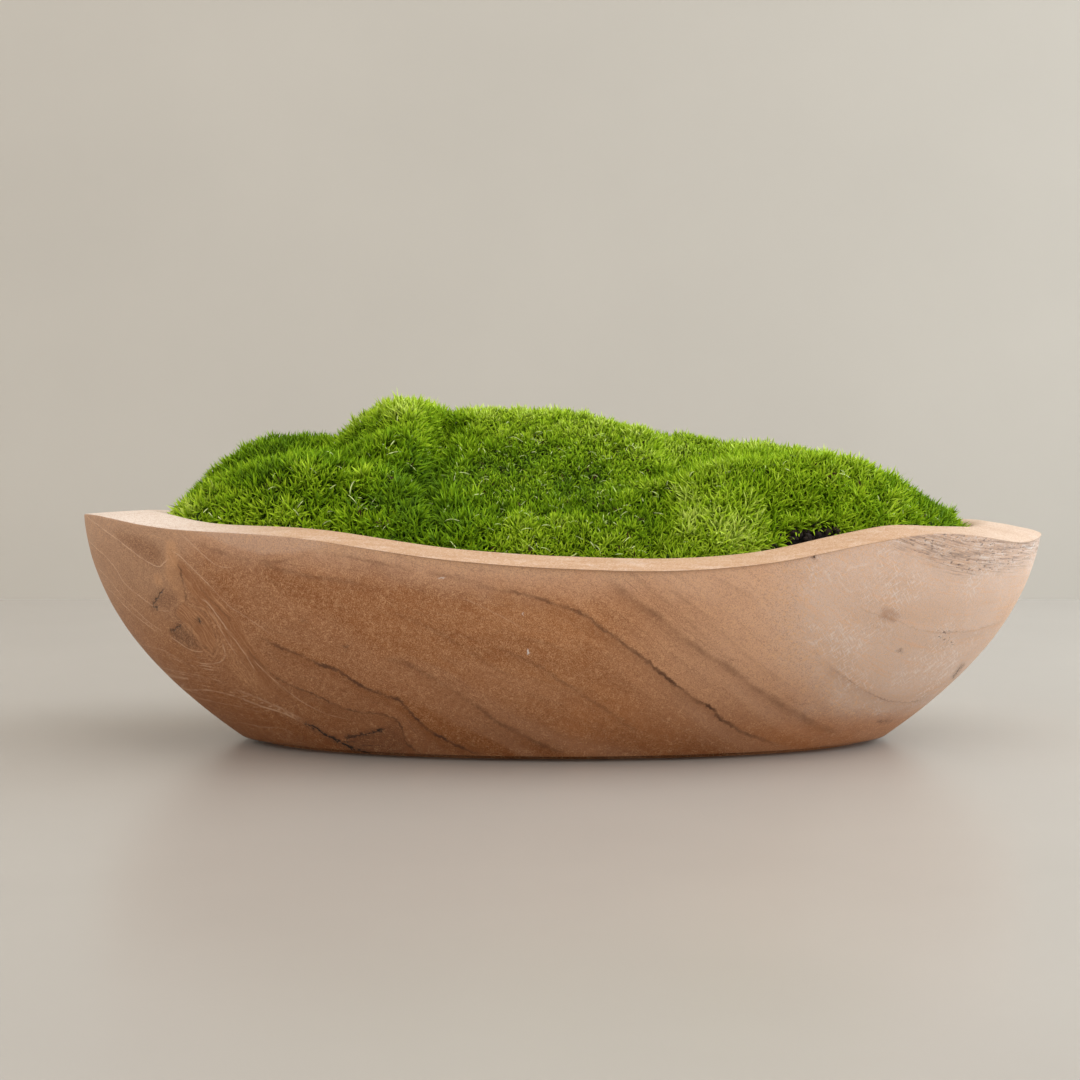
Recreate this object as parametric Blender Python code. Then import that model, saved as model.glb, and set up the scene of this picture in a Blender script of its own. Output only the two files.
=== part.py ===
"""Moss bowl garden: a hand-carved wooden bowl, a bed of soil in it and cushions of moss on the soil.

+X runs along the bowl, -Y is the side that the viewer faces and +Z is up. The origin lies on the
surface that the bowl stands on, under the middle of the bowl. An angle round the bowl is in degrees,
0 at the right-hand tip, 90 at the far side, 180 at the left-hand tip and 270 at the near side.
"""

import math
import random
from collections import defaultdict, namedtuple

import bmesh
import bpy
from mathutils import Vector
from mathutils.geometry import delaunay_2d_cdt

MM = 0.001

# Bowl, outside
RIM_LENGTH = 0.500
RIM_WIDTH = 0.250
RIM_SQUARENESS = 2.2
BASE_LENGTH = 0.332
BASE_WIDTH = 0.152
BASE_SQUARENESS = 1.9
FLARE_HEIGHT = 0.130
FLARE_POWER = 2.2
BASE_CHAMFER = 0.003
WALL_LEVELS = (0.003, 0.012, 0.024, 0.039, 0.057, 0.076)
RIM_NECK_DROP = 0.012

# Bowl, rim: the height of its outer edge, and how much higher its crest is, both in mm by angle.
# Between them the top is a slanted face, whose middle lies a little above a straight line.
RIM_EDGE_MM = {
    0: 109, 25: 109.5, 70: 105.5, 95: 105, 140: 110, 160: 115, 180: 118.5, 200: 121,
    220: 117, 240: 114.5, 260: 104, 277: 99.3, 290: 102.2, 305: 111.6, 316: 115, 336: 107.5, 350: 108.5,
}
RIM_RISE_MM = {0: 6, 25: 3.2, 95: 4, 180: 2, 210: 1.6, 240: 3, 275: 5.3, 300: 3.4, 320: 4, 335: 8, 350: 6.4}
RIM_CREST_SHARE = 0.78
RIM_FACE_CROWN = 0.58
RIM_ROUNDING = 0.0018

# Bowl, inside
HOLLOW_LENGTH = 0.4224
HOLLOW_WIDTH = 0.216
HOLLOW_SQUARENESS = 2.3
FLOOR_LENGTH = 0.300
FLOOR_WIDTH = 0.116
FLOOR_HEIGHT = 0.028
HOLLOW_FLARE_HEIGHT = 0.112
HOLLOW_FLARE_POWER = 2.2
SOIL_LINE = 0.088
HOLLOW_LEVELS = (SOIL_LINE, 0.070, 0.052, 0.038, FLOOR_HEIGHT)
BOWL_STEP_DEGREES = 4

# Soil
SOIL_CLEARANCE = 0.0004
SOIL_CROWN = 0.020
SOIL_HILLS = ((-0.068, 0.020, 0.085, 0.020), (0.105, 0.010, 0.090, 0.010))
SOIL_GRID = 0.018

# Moss: each cushion's middle, its dome's reach along X and Y, the height of its top and its spread,
# which says how much of the garden it takes from its neighbours
Mound = namedtuple("Mound", "name x y reach_x reach_y top spread")
MOUNDS = (
    Mound("moss_peak", -0.083, 0.024, 0.056, 0.085, 0.176, 0.066),
    Mound("moss_back_ridge", -0.014, 0.034, 0.104, 0.085, 0.170, 0.060),
    Mound("moss_middle_slope", -0.008, -0.045, 0.100, 0.075, 0.132, 0.062),
    Mound("moss_left_back", -0.148, 0.040, 0.070, 0.060, 0.157, 0.064),
    Mound("moss_left_front", -0.128, -0.036, 0.084, 0.062, 0.154, 0.063),
    Mound("moss_front_tuft", -0.074, -0.072, 0.050, 0.038, 0.131, 0.055),
    Mound("moss_right_back", 0.090, 0.034, 0.116, 0.080, 0.154, 0.058),
    Mound("moss_right_front", 0.108, -0.036, 0.102, 0.062, 0.148, 0.068),
)
BORDER_WANDER = 0.005
BORDER_WAVE = 0.055
MOSS_FLOOR = 0.104
DOME_STEEPNESS = 0.75
DOME_FLATNESS = 1.25
DOME_SINK = 0.2
MOUND_SOFTNESS = 0.0035
MOSS_SHOULDER = 0.040
SHOULDER_POWER = 2.6
MOSS_WALL_CLEARANCE = 0.0015
MOSS_BELOW_CREST = 0.003
HEM_TUCK = 0.0036
BARE_SOIL_ANGLE = 303
BARE_SOIL_SPREAD = 9
BARE_SOIL_DEPTH = 0.009
CREASE_DEPTH = 0.005
CUSHION_GAP = 0.0004
WALL_CORNER_GAP = 0.0008
UNDERSIDE_GAP = 0.0008

# Moss: the tufts that cover every cushion
TUFT_SPACING = 0.0074
TUFT_JITTER = 0.13
TUFT_RISE = 0.0030
TUFT_RISE_SPREAD = 0.0016
TUFT_DIP = 0.0020
TUFT_LEAN = 0.0018
LONGEST_LEAN = 0.3 * TUFT_SPACING
WIND = Vector((0.5, -0.6, 0.0))
BORDER_PULL = 0.7
KEY_GRID = 0.0001
SEED = 41


def clear_scene():
    """Remove whatever the opened file holds."""
    for item in list(bpy.data.objects):
        bpy.data.objects.remove(item, do_unlink=True)


def finish(name, colour, roughness):
    """A plain matt finish in a colour given in linear light."""
    material = bpy.data.materials.new(name)
    material.use_nodes = True
    shader = material.node_tree.nodes["Principled BSDF"]
    shader.inputs["Base Color"].default_value = (*colour, 1.0)
    shader.inputs["Roughness"].default_value = roughness
    shader.inputs["Metallic"].default_value = 0.0
    return material


def add_object(name, bm, material, crease_degrees):
    """Turn a finished bmesh into an object, smooth but for edges sharper than crease_degrees."""
    bmesh.ops.recalc_face_normals(bm, faces=bm.faces)
    mesh = bpy.data.meshes.new(name)
    bm.to_mesh(mesh)
    bm.free()
    mesh.materials.append(material)
    mesh.shade_smooth()
    mesh.set_sharp_from_angle(angle=math.radians(crease_degrees))
    item = bpy.data.objects.new(name, mesh)
    bpy.context.scene.collection.objects.link(item)
    return item


def oval(length, width, squareness, angle):
    """A point of a squared oval, at an angle round its middle."""
    c = math.cos(math.radians(angle))
    s = math.sin(math.radians(angle))
    x = math.copysign(abs(c) ** (2 / squareness), c) * length / 2
    y = math.copysign(abs(s) ** (2 / squareness), s) * width / 2
    return Vector((x, y, 0.0))


def oval_angle(x, y, length, width, squareness):
    """The angle at which oval() comes out of the middle towards a point."""
    across = math.copysign(abs(2 * x / length) ** (squareness / 2), x)
    along = math.copysign(abs(2 * y / width) ** (squareness / 2), y)
    return math.degrees(math.atan2(along, across)) % 360


def round_the_rim(stops, angle):
    """A smooth closed curve through the stops, which give a value by angle and start at 0."""
    angles = sorted(stops)
    count = len(angles)
    angle %= 360
    first = max(k for k in range(count) if angles[k] <= angle)
    where = [angles[k % count] + 360 * (k // count) for k in range(first - 1, first + 3)]
    value = [stops[angles[k % count]] for k in range(first - 1, first + 3)]
    span = where[2] - where[1]
    start_slope = (value[2] - value[0]) / (where[2] - where[0])
    end_slope = (value[3] - value[1]) / (where[3] - where[1])
    u = (angle - where[1]) / span
    start_share = 2 * u ** 3 - 3 * u ** 2 + 1
    start_turn = (u ** 3 - 2 * u ** 2 + u) * span
    end_turn = (u ** 3 - u ** 2) * span
    return (
        start_share * value[1]
        + (1 - start_share) * value[2]
        + start_turn * start_slope
        + end_turn * end_slope
    )


def rim_edge_height(angle):
    """Height of the rim's outer edge."""
    return round_the_rim(RIM_EDGE_MM, angle) * MM


def rim_rise(angle):
    """How much higher the rim's crest is than its outer edge."""
    return round_the_rim(RIM_RISE_MM, angle) * MM


def rim_crest_height(angle):
    """Height of the rim's highest line, near its inner edge."""
    return rim_edge_height(angle) + rim_rise(angle)


def outer_wall(angle, height):
    """A point of the bowl's outer wall, which flares from the base to the rim."""
    base = oval(BASE_LENGTH, BASE_WIDTH, BASE_SQUARENESS, angle)
    rim = oval(RIM_LENGTH, RIM_WIDTH, RIM_SQUARENESS, angle)
    flare = 1 - (1 - min(height / FLARE_HEIGHT, 1)) ** FLARE_POWER
    point = base.lerp(rim, flare)
    point.z = height
    return point


def hollow_wall(angle, height):
    """A point of the hollow's wall."""
    floor = oval(FLOOR_LENGTH, FLOOR_WIDTH, HOLLOW_SQUARENESS, angle)
    mouth = oval(HOLLOW_LENGTH, HOLLOW_WIDTH, HOLLOW_SQUARENESS, angle)
    rise = min((height - FLOOR_HEIGHT) / (HOLLOW_FLARE_HEIGHT - FLOOR_HEIGHT), 1)
    point = floor.lerp(mouth, 1 - (1 - rise) ** HOLLOW_FLARE_POWER)
    point.z = height
    return point


def rim_face(angle, share, below_crest):
    """A point of the rim's top, a share of the way from its outer to its inner edge."""
    outer = oval(RIM_LENGTH, RIM_WIDTH, RIM_SQUARENESS, angle)
    inner = oval(HOLLOW_LENGTH, HOLLOW_WIDTH, HOLLOW_SQUARENESS, angle)
    point = outer.lerp(inner, share)
    point.z = rim_crest_height(angle) - below_crest
    return point


def foot_ring(angle):
    """The edge of the flat base, inside the chamfer."""
    point = oval(BASE_LENGTH, BASE_WIDTH, BASE_SQUARENESS, angle)
    return point * (1 - BASE_CHAMFER / point.length)


def bowl_rings():
    """The rings of the bowl's skin, from the flat base over the rim to the floor of the hollow."""
    rings = [foot_ring]
    rings += [lambda angle, z=z: outer_wall(angle, z) for z in WALL_LEVELS]
    rings.append(lambda angle: outer_wall(angle, rim_edge_height(angle) - RIM_NECK_DROP))
    rings.append(lambda angle: outer_wall(angle, rim_edge_height(angle)))
    rings.append(lambda angle: rim_face(angle, RIM_CREST_SHARE / 2, rim_rise(angle) * (1 - RIM_FACE_CROWN)))
    rings.append(lambda angle: rim_face(angle, RIM_CREST_SHARE, 0.0))
    rings.append(lambda angle: rim_face(angle, 1.0, RIM_ROUNDING))
    rings += [lambda angle, z=z: hollow_wall(angle, z) for z in HOLLOW_LEVELS]
    return rings


def skin(bm, rings, step_degrees):
    """Grow a skin from a flat cap on the first ring to the last ring, and return its last edges."""
    angle_layer = bm.verts.layers.float.new("angle")
    count = 360 // step_degrees
    bmesh.ops.create_circle(bm, cap_ends=True, segments=count, radius=1.0)
    bm.verts.ensure_lookup_table()
    for index, vert in enumerate(bm.verts):
        vert[angle_layer] = index * step_degrees
        vert.co = rings[0](vert[angle_layer])
    edges = list(bm.edges)
    for ring in rings[1:]:
        grown = bmesh.ops.extrude_edge_only(bm, edges=edges)["geom"]
        for vert in (item for item in grown if isinstance(item, bmesh.types.BMVert)):
            vert.co = ring(vert[angle_layer])
        edges = [item for item in grown if isinstance(item, bmesh.types.BMEdge)]
    return edges


def make_bowl(material):
    """The carved bowl, one solid with a flat base and a thick wavy rim."""
    bm = bmesh.new()
    mouth = skin(bm, bowl_rings(), BOWL_STEP_DEGREES)
    bmesh.ops.contextual_create(bm, geom=mouth)
    return add_object("bowl", bm, material, crease_degrees=38)


def share_of_hollow(x, y, inset):
    """0 in the middle of the hollow's mouth and 1 at its wall less an inset."""
    across = abs(2 * x / (HOLLOW_LENGTH - 2 * inset)) ** HOLLOW_SQUARENESS
    along = abs(2 * y / (HOLLOW_WIDTH - 2 * inset)) ** HOLLOW_SQUARENESS
    return (across + along) ** (1 / HOLLOW_SQUARENESS)


def soil_height(x, y):
    """Height of the soil, crowned and banked up under the tall cushions."""
    share = min(share_of_hollow(x, y, 0.0), 1.0)
    height = SOIL_CROWN
    for hill_x, hill_y, reach, rise in SOIL_HILLS:
        away = ((x - hill_x) ** 2 + (y - hill_y) ** 2) / reach ** 2
        height += rise * math.exp(-away)
    return SOIL_LINE + height * (1 - share ** 2)


def fill_sheet(bm, loop, spacing, height_at):
    """Fill a closed loop of vertices with triangles over a grid of points, raised to height_at."""
    outline = [Vector((vert.co.x, vert.co.y)) for vert in loop]
    low_x = min(point.x for point in outline)
    low_y = min(point.y for point in outline)
    columns = int((max(point.x for point in outline) - low_x) / spacing) + 1
    rows = int((max(point.y for point in outline) - low_y) / spacing) + 1
    inner = []
    for row in range(rows):
        for column in range(columns):
            point = Vector((low_x + (column + 0.5 * (row % 2)) * spacing, low_y + row * spacing))
            if clear_of(outline, point, spacing / 2):
                inner.append(point)
    edges = [(k, (k + 1) % len(loop)) for k in range(len(loop))]
    points, _, faces, origins, _, _ = delaunay_2d_cdt(outline + inner, edges, [], 1, 1e-7)
    verts = []
    for point, origin in zip(points, origins):
        if origin and origin[0] < len(loop):
            verts.append(loop[origin[0]])
        else:
            verts.append(bm.verts.new((point.x, point.y, height_at(point.x, point.y))))
    for face in faces:
        bm.faces.new([verts[k] for k in face])


def clear_of(outline, point, distance):
    """True where a point lies inside an outline and at least a distance from it."""
    inside = False
    for start, end in zip(outline, outline[1:] + outline[:1]):
        run = end - start
        share = min(max((point - start).dot(run) / run.length_squared, 0.0), 1.0)
        if (start + run * share - point).length < distance:
            return False
        if (start.y > point.y) != (end.y > point.y):
            if point.x < start.x + run.x * (point.y - start.y) / run.y:
                inside = not inside
    return inside


def ordered_loop(edges):
    """The vertices of a closed ring of edges, in order."""
    vert = edges[0].verts[0]
    loop = []
    left = set(edges)
    while left:
        edge = next(item for item in vert.link_edges if item in left)
        left.remove(edge)
        loop.append(vert)
        vert = edge.other_vert(vert)
    return loop


def make_soil(material):
    """The soil, which fills the hollow up to the soil line and is crowned in the middle."""

    def in_hollow(angle, height):
        wall = hollow_wall(angle, height)
        flat = Vector((wall.x, wall.y, 0.0))
        return wall - flat.normalized() * SOIL_CLEARANCE + Vector((0.0, 0.0, SOIL_CLEARANCE))

    bm = bmesh.new()
    levels = sorted(HOLLOW_LEVELS)
    rings = [lambda angle, z=z: in_hollow(angle, z) for z in levels]
    mouth = skin(bm, rings, BOWL_STEP_DEGREES)
    fill_sheet(bm, ordered_loop(mouth), SOIL_GRID, soil_height)
    return add_object("soil_bed", bm, material, crease_degrees=50)


def moss_inset(angle):
    """How far the moss stays from the wall, which is further where soil shows."""
    away = ((angle - BARE_SOIL_ANGLE + 180) % 360 - 180) / BARE_SOIL_SPREAD
    return MOSS_WALL_CLEARANCE + BARE_SOIL_DEPTH * math.exp(-away * away)


def moss_angle(x, y):
    """The angle round the bowl at which a point of the garden lies."""
    return oval_angle(x, y, HOLLOW_LENGTH, HOLLOW_WIDTH, HOLLOW_SQUARENESS)


def moss_share(x, y):
    """0 in the middle of the garden and 1 where the moss ends at the wall."""
    return share_of_hollow(x, y, moss_inset(moss_angle(x, y)))


def way_to_wall(x, y):
    """The vector from a point of the garden to where the moss ends at the wall."""
    across = moss_share(x + MM, y) - moss_share(x - MM, y)
    along = moss_share(x, y + MM) - moss_share(x, y - MM)
    slope = Vector((across, along)) / (2 * MM)
    return slope * ((1 - moss_share(x, y)) / slope.length_squared)


def mound_height(mound, x, y):
    """Height of one cushion's dome, a bell curve that ends a little below the moss floor."""
    away = ((x - mound.x) / mound.reach_x) ** 2 + ((y - mound.y) / mound.reach_y) ** 2
    bell = math.exp(-DOME_STEEPNESS * away ** DOME_FLATNESS)
    return MOSS_FLOOR + (mound.top - MOSS_FLOOR) * ((1 + DOME_SINK) * bell - DOME_SINK)


def moss_height(x, y):
    """Height of the moss, the domes blended and rolled off towards the wall."""
    heights = [mound_height(mound, x, y) for mound in MOUNDS]
    tallest = max(heights)
    total = sum(math.exp((height - tallest) / MOUND_SOFTNESS) for height in heights)
    blended = tallest + MOUND_SOFTNESS * math.log(total)
    to_wall = way_to_wall(x, y).length if moss_share(x, y) < 1.0 else 0.0
    roll = 1 - min(to_wall / MOSS_SHOULDER, 1.0)
    edge = rim_crest_height(moss_angle(x, y)) - MOSS_BELOW_CREST
    return edge + (blended - edge) * (1 - roll ** SHOULDER_POWER)


def nearest_mound(x, y):
    """Index of the cushion that owns a point, with borders that wander as grown moss does."""
    turn = 2 * math.pi / BORDER_WAVE
    x, y = x + BORDER_WANDER * math.sin(y * turn), y + BORDER_WANDER * math.sin(x * turn)

    def away(mound):
        return (x - mound.x) ** 2 + (y - mound.y) ** 2 - mound.spread ** 2

    return min(range(len(MOUNDS)), key=lambda k: away(MOUNDS[k]))


def tuft_cells():
    """Honeycomb cells over the garden: a tip and the keys of six corners, by cushion."""
    cells = defaultdict(list)
    row_step = TUFT_SPACING * math.sqrt(3) / 2
    radius = TUFT_SPACING / math.sqrt(3)
    rows = int(HOLLOW_WIDTH / 2 / row_step)
    columns = int(HOLLOW_LENGTH / 2 / TUFT_SPACING) + 1
    for row in range(-rows, rows + 1):
        for column in range(-columns, columns + 1):
            x = (column + 0.5 * (row % 2)) * TUFT_SPACING
            y = row * row_step
            corners = []
            for k in range(6):
                turn = math.radians(60 * k + 30)
                corners.append((x + radius * math.cos(turn), y + radius * math.sin(turn)))
            if max(moss_share(*corner) for corner in corners) <= 1.0:
                cells[nearest_mound(x, y)].append(((x, y), [corner_key(corner) for corner in corners]))
    return cells


def corner_key(corner):
    """A whole-number key that the three cells that meet at a corner share."""
    return round(corner[0] / KEY_GRID), round(corner[1] / KEY_GRID)


def place_corners(cells, draws):
    """Where each corner of the honeycomb goes, and the keys of those at the wall.

    Corners inside the garden are jittered, and those at its edge are drawn out to the wall.
    """
    uses = defaultdict(int)
    for owner in sorted(cells):
        for _, keys in cells[owner]:
            for key in keys:
                uses[key] += 1
    at_wall = {key for key in uses if uses[key] < 3}
    jitter = TUFT_JITTER * TUFT_SPACING
    places = {}
    for key in sorted(uses):
        place = Vector(key) * KEY_GRID
        if key in at_wall:
            places[key] = place + way_to_wall(place.x, place.y) * BORDER_PULL
        else:
            places[key] = place + Vector((draws.uniform(-jitter, jitter), draws.uniform(-jitter, jitter)))
    return places, at_wall


def surface_normal(x, y):
    """Unit normal of the moss surface."""
    step = 2 * MM
    fall_x = (moss_height(x - step, y) - moss_height(x + step, y)) / (2 * step)
    fall_y = (moss_height(x, y - step) - moss_height(x, y + step)) / (2 * step)
    return Vector((fall_x, fall_y, 1.0)).normalized()


def tuft_tip(middle, draws):
    """The tip of a tuft: it stands out from the surface, leans with the wind and wanders."""
    normal = surface_normal(middle.x, middle.y)
    rise = TUFT_RISE + draws.uniform(-TUFT_RISE_SPREAD, TUFT_RISE_SPREAD)
    wander = Vector((draws.uniform(-1, 1), draws.uniform(-1, 1), 0.0))
    sideways = normal * rise + (WIND + wander) * TUFT_LEAN
    sideways.z = 0.0
    if sideways.length > LONGEST_LEAN:
        sideways *= LONGEST_LEAN / sideways.length
    return Vector((middle.x, middle.y, moss_height(middle.x, middle.y) + rise * normal.z)) + sideways


def make_cushion(owner, cells, places, at_wall, draws, material):
    """One cushion: tufts over its top, a side all round and an underside that follows the soil."""
    middles = defaultdict(list)
    for middle, keys in cells[owner]:
        for key in keys:
            middles[key].append(Vector(middle))
    bm = bmesh.new()
    corners = {}
    wall_verts = set()
    for key in sorted(middles):
        place = places[key]
        height = moss_height(place.x, place.y) - TUFT_DIP
        if len(middles[key]) < 3:
            inward = sum(middles[key], Vector((0.0, 0.0))) / len(middles[key]) - place
            gap = CUSHION_GAP
            if key in at_wall:
                outward = way_to_wall(place.x, place.y).normalized()
                inward -= outward * inward.dot(outward)
                gap = WALL_CORNER_GAP
            else:
                height -= CREASE_DEPTH
            place = place + inward.normalized() * gap
        corners[key] = bm.verts.new((place.x, place.y, height))
        if key in at_wall:
            wall_verts.add(corners[key])
    for _, keys in cells[owner]:
        ring = [corners[key] for key in keys]
        middle = sum((vert.co for vert in ring), Vector()) / len(ring)
        tip = bm.verts.new(tuft_tip(middle, draws))
        for start, end in zip(ring, ring[1:] + ring[:1]):
            bm.faces.new((start, end, tip))
    add_underside(bm, wall_verts)
    return add_object(MOUNDS[owner].name, bm, material, crease_degrees=180)


def add_underside(bm, wall_verts):
    """Close a cushion: a side down from its border, tucked in at the wall, and a sheet over the soil."""

    def above_soil(x, y):
        return soil_height(x, y) + UNDERSIDE_GAP

    border = [edge for edge in bm.edges if edge.is_boundary]
    high = ordered_loop(border)
    low = []
    for vert in high:
        place = vert.co.xy
        if vert in wall_verts:
            place -= way_to_wall(place.x, place.y).normalized() * HEM_TUCK
        low.append(bm.verts.new((place.x, place.y, above_soil(place.x, place.y))))
    for k in range(len(high)):
        after = (k + 1) % len(high)
        bm.faces.new((high[k], high[after], low[after], low[k]))
    fill_sheet(bm, low, SOIL_GRID, above_soil)


def main():
    """Model the whole object."""
    clear_scene()
    wood = finish("carved_wood", (0.34, 0.17, 0.085), 0.55)
    soil = finish("dark_soil", (0.035, 0.022, 0.014), 0.95)
    moss = finish("green_moss", (0.11, 0.20, 0.012), 0.90)
    make_bowl(wood)
    make_soil(soil)
    draws = random.Random(SEED)
    cells = tuft_cells()
    places, at_wall = place_corners(cells, draws)
    for owner in sorted(cells):
        make_cushion(owner, cells, places, at_wall, draws, moss)


main()
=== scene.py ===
"""Moss bowl garden, dressed: a hand-carved wooden bowl, dark soil and eight cushions of living moss.

+X runs along the bowl, -Y is the side that the viewer faces and +Z is up, as in the CAD. An angle round
the bowl is in degrees, 0 at the right-hand tip, 90 at the far side and 270 at the near side.
"""

import logging
import math
from dataclasses import dataclass, field
from enum import Enum
from functools import reduce

import bmesh
import bpy
import numpy as np
from mathutils import Matrix, Vector, noise
from mathutils.bvhtree import BVHTree


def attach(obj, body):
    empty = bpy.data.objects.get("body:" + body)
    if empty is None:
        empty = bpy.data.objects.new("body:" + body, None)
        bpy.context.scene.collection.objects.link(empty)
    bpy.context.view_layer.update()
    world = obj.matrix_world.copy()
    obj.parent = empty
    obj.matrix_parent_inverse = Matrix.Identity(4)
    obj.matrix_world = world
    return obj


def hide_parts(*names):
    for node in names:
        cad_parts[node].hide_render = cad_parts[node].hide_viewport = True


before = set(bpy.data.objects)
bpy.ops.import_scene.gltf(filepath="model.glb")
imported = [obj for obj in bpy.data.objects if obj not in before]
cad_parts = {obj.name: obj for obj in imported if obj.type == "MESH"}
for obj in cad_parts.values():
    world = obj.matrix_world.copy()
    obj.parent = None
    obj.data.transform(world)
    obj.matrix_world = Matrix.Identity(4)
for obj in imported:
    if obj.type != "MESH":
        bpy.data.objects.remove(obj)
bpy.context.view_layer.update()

MM = 0.001
BODY = "root"
BAKE_MAP = "OFBake"
log = logging.getLogger("moss_bowl_garden")

Numbers = np.ndarray | float
Socket = bpy.types.NodeSocket
Mesh = bpy.types.Mesh
Object = bpy.types.Object
Material = bpy.types.Material


class Slot(Enum):
    """The record's material slots."""

    WOOD = "carved_wood"
    SOIL = "dark_soil"
    MOSS = "green_moss"


def tint(*steps: float) -> tuple[float, ...]:
    """A colour's three screen steps of 0 to 255 as Blender's sockets take them, in linear light."""
    shares = [step / 255 for step in steps]
    linear = [share / 12.92 if share <= 0.04045 else ((share + 0.055) / 1.055) ** 2.4 for share in shares]
    return (*linear, 1.0)


def ease(value: np.ndarray, low: float, high: float) -> np.ndarray:
    """A smooth rise from 0 at low to 1 at high, or a fall where low is the greater."""
    share = np.clip((value - low) / (high - low), 0.0, 1.0)
    return share * share * (3 - 2 * share)


def rise(value: float, start: float, reach: float) -> float:
    """A straight rise from 0 at the start to 1 a reach further on."""
    return min(max((value - start) / reach, 0.0), 1.0)


def add_object(data: bpy.types.ID) -> Object:
    """Put a mesh, a camera or a light into the scene, as an object of the same name."""
    made = bpy.data.objects.new(data.name, data)
    bpy.context.scene.collection.objects.link(made)
    return made


@dataclass(frozen=True)
class Photo:
    """The camera that took the photograph, as fitted to the bowl's outline."""

    side: int = 1080
    focal: float = 2485.5
    sensor: float = 36.0
    place: tuple = (-0.0123, -1.300, 0.206)
    pitch: float = 4.453

    def ray(self, across: float, down: float) -> Vector:
        """The direction in which the camera sees a pixel of the photograph.

        Args:
            across: Pixels from the left edge.
            down: Pixels from the top edge.

        Returns:
            The direction, with a reach of 1 along the camera's axis.
        """
        right = (across - self.side / 2) / self.focal
        up = (self.side / 2 - down) / self.focal
        cos, sin = math.cos(math.radians(self.pitch)), math.sin(math.radians(self.pitch))
        return Vector((right, cos + up * sin, up * cos - sin))

    def build(self) -> None:
        """Make the camera and take it into use."""
        data = bpy.data.cameras.new("photo_camera")
        data.sensor_width = self.sensor
        data.lens = self.focal / self.side * self.sensor
        camera = add_object(data)
        camera.location = self.place
        camera.rotation_euler = (math.radians(90 - self.pitch), 0.0, 0.0)
        bpy.context.scene.camera = camera


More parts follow.
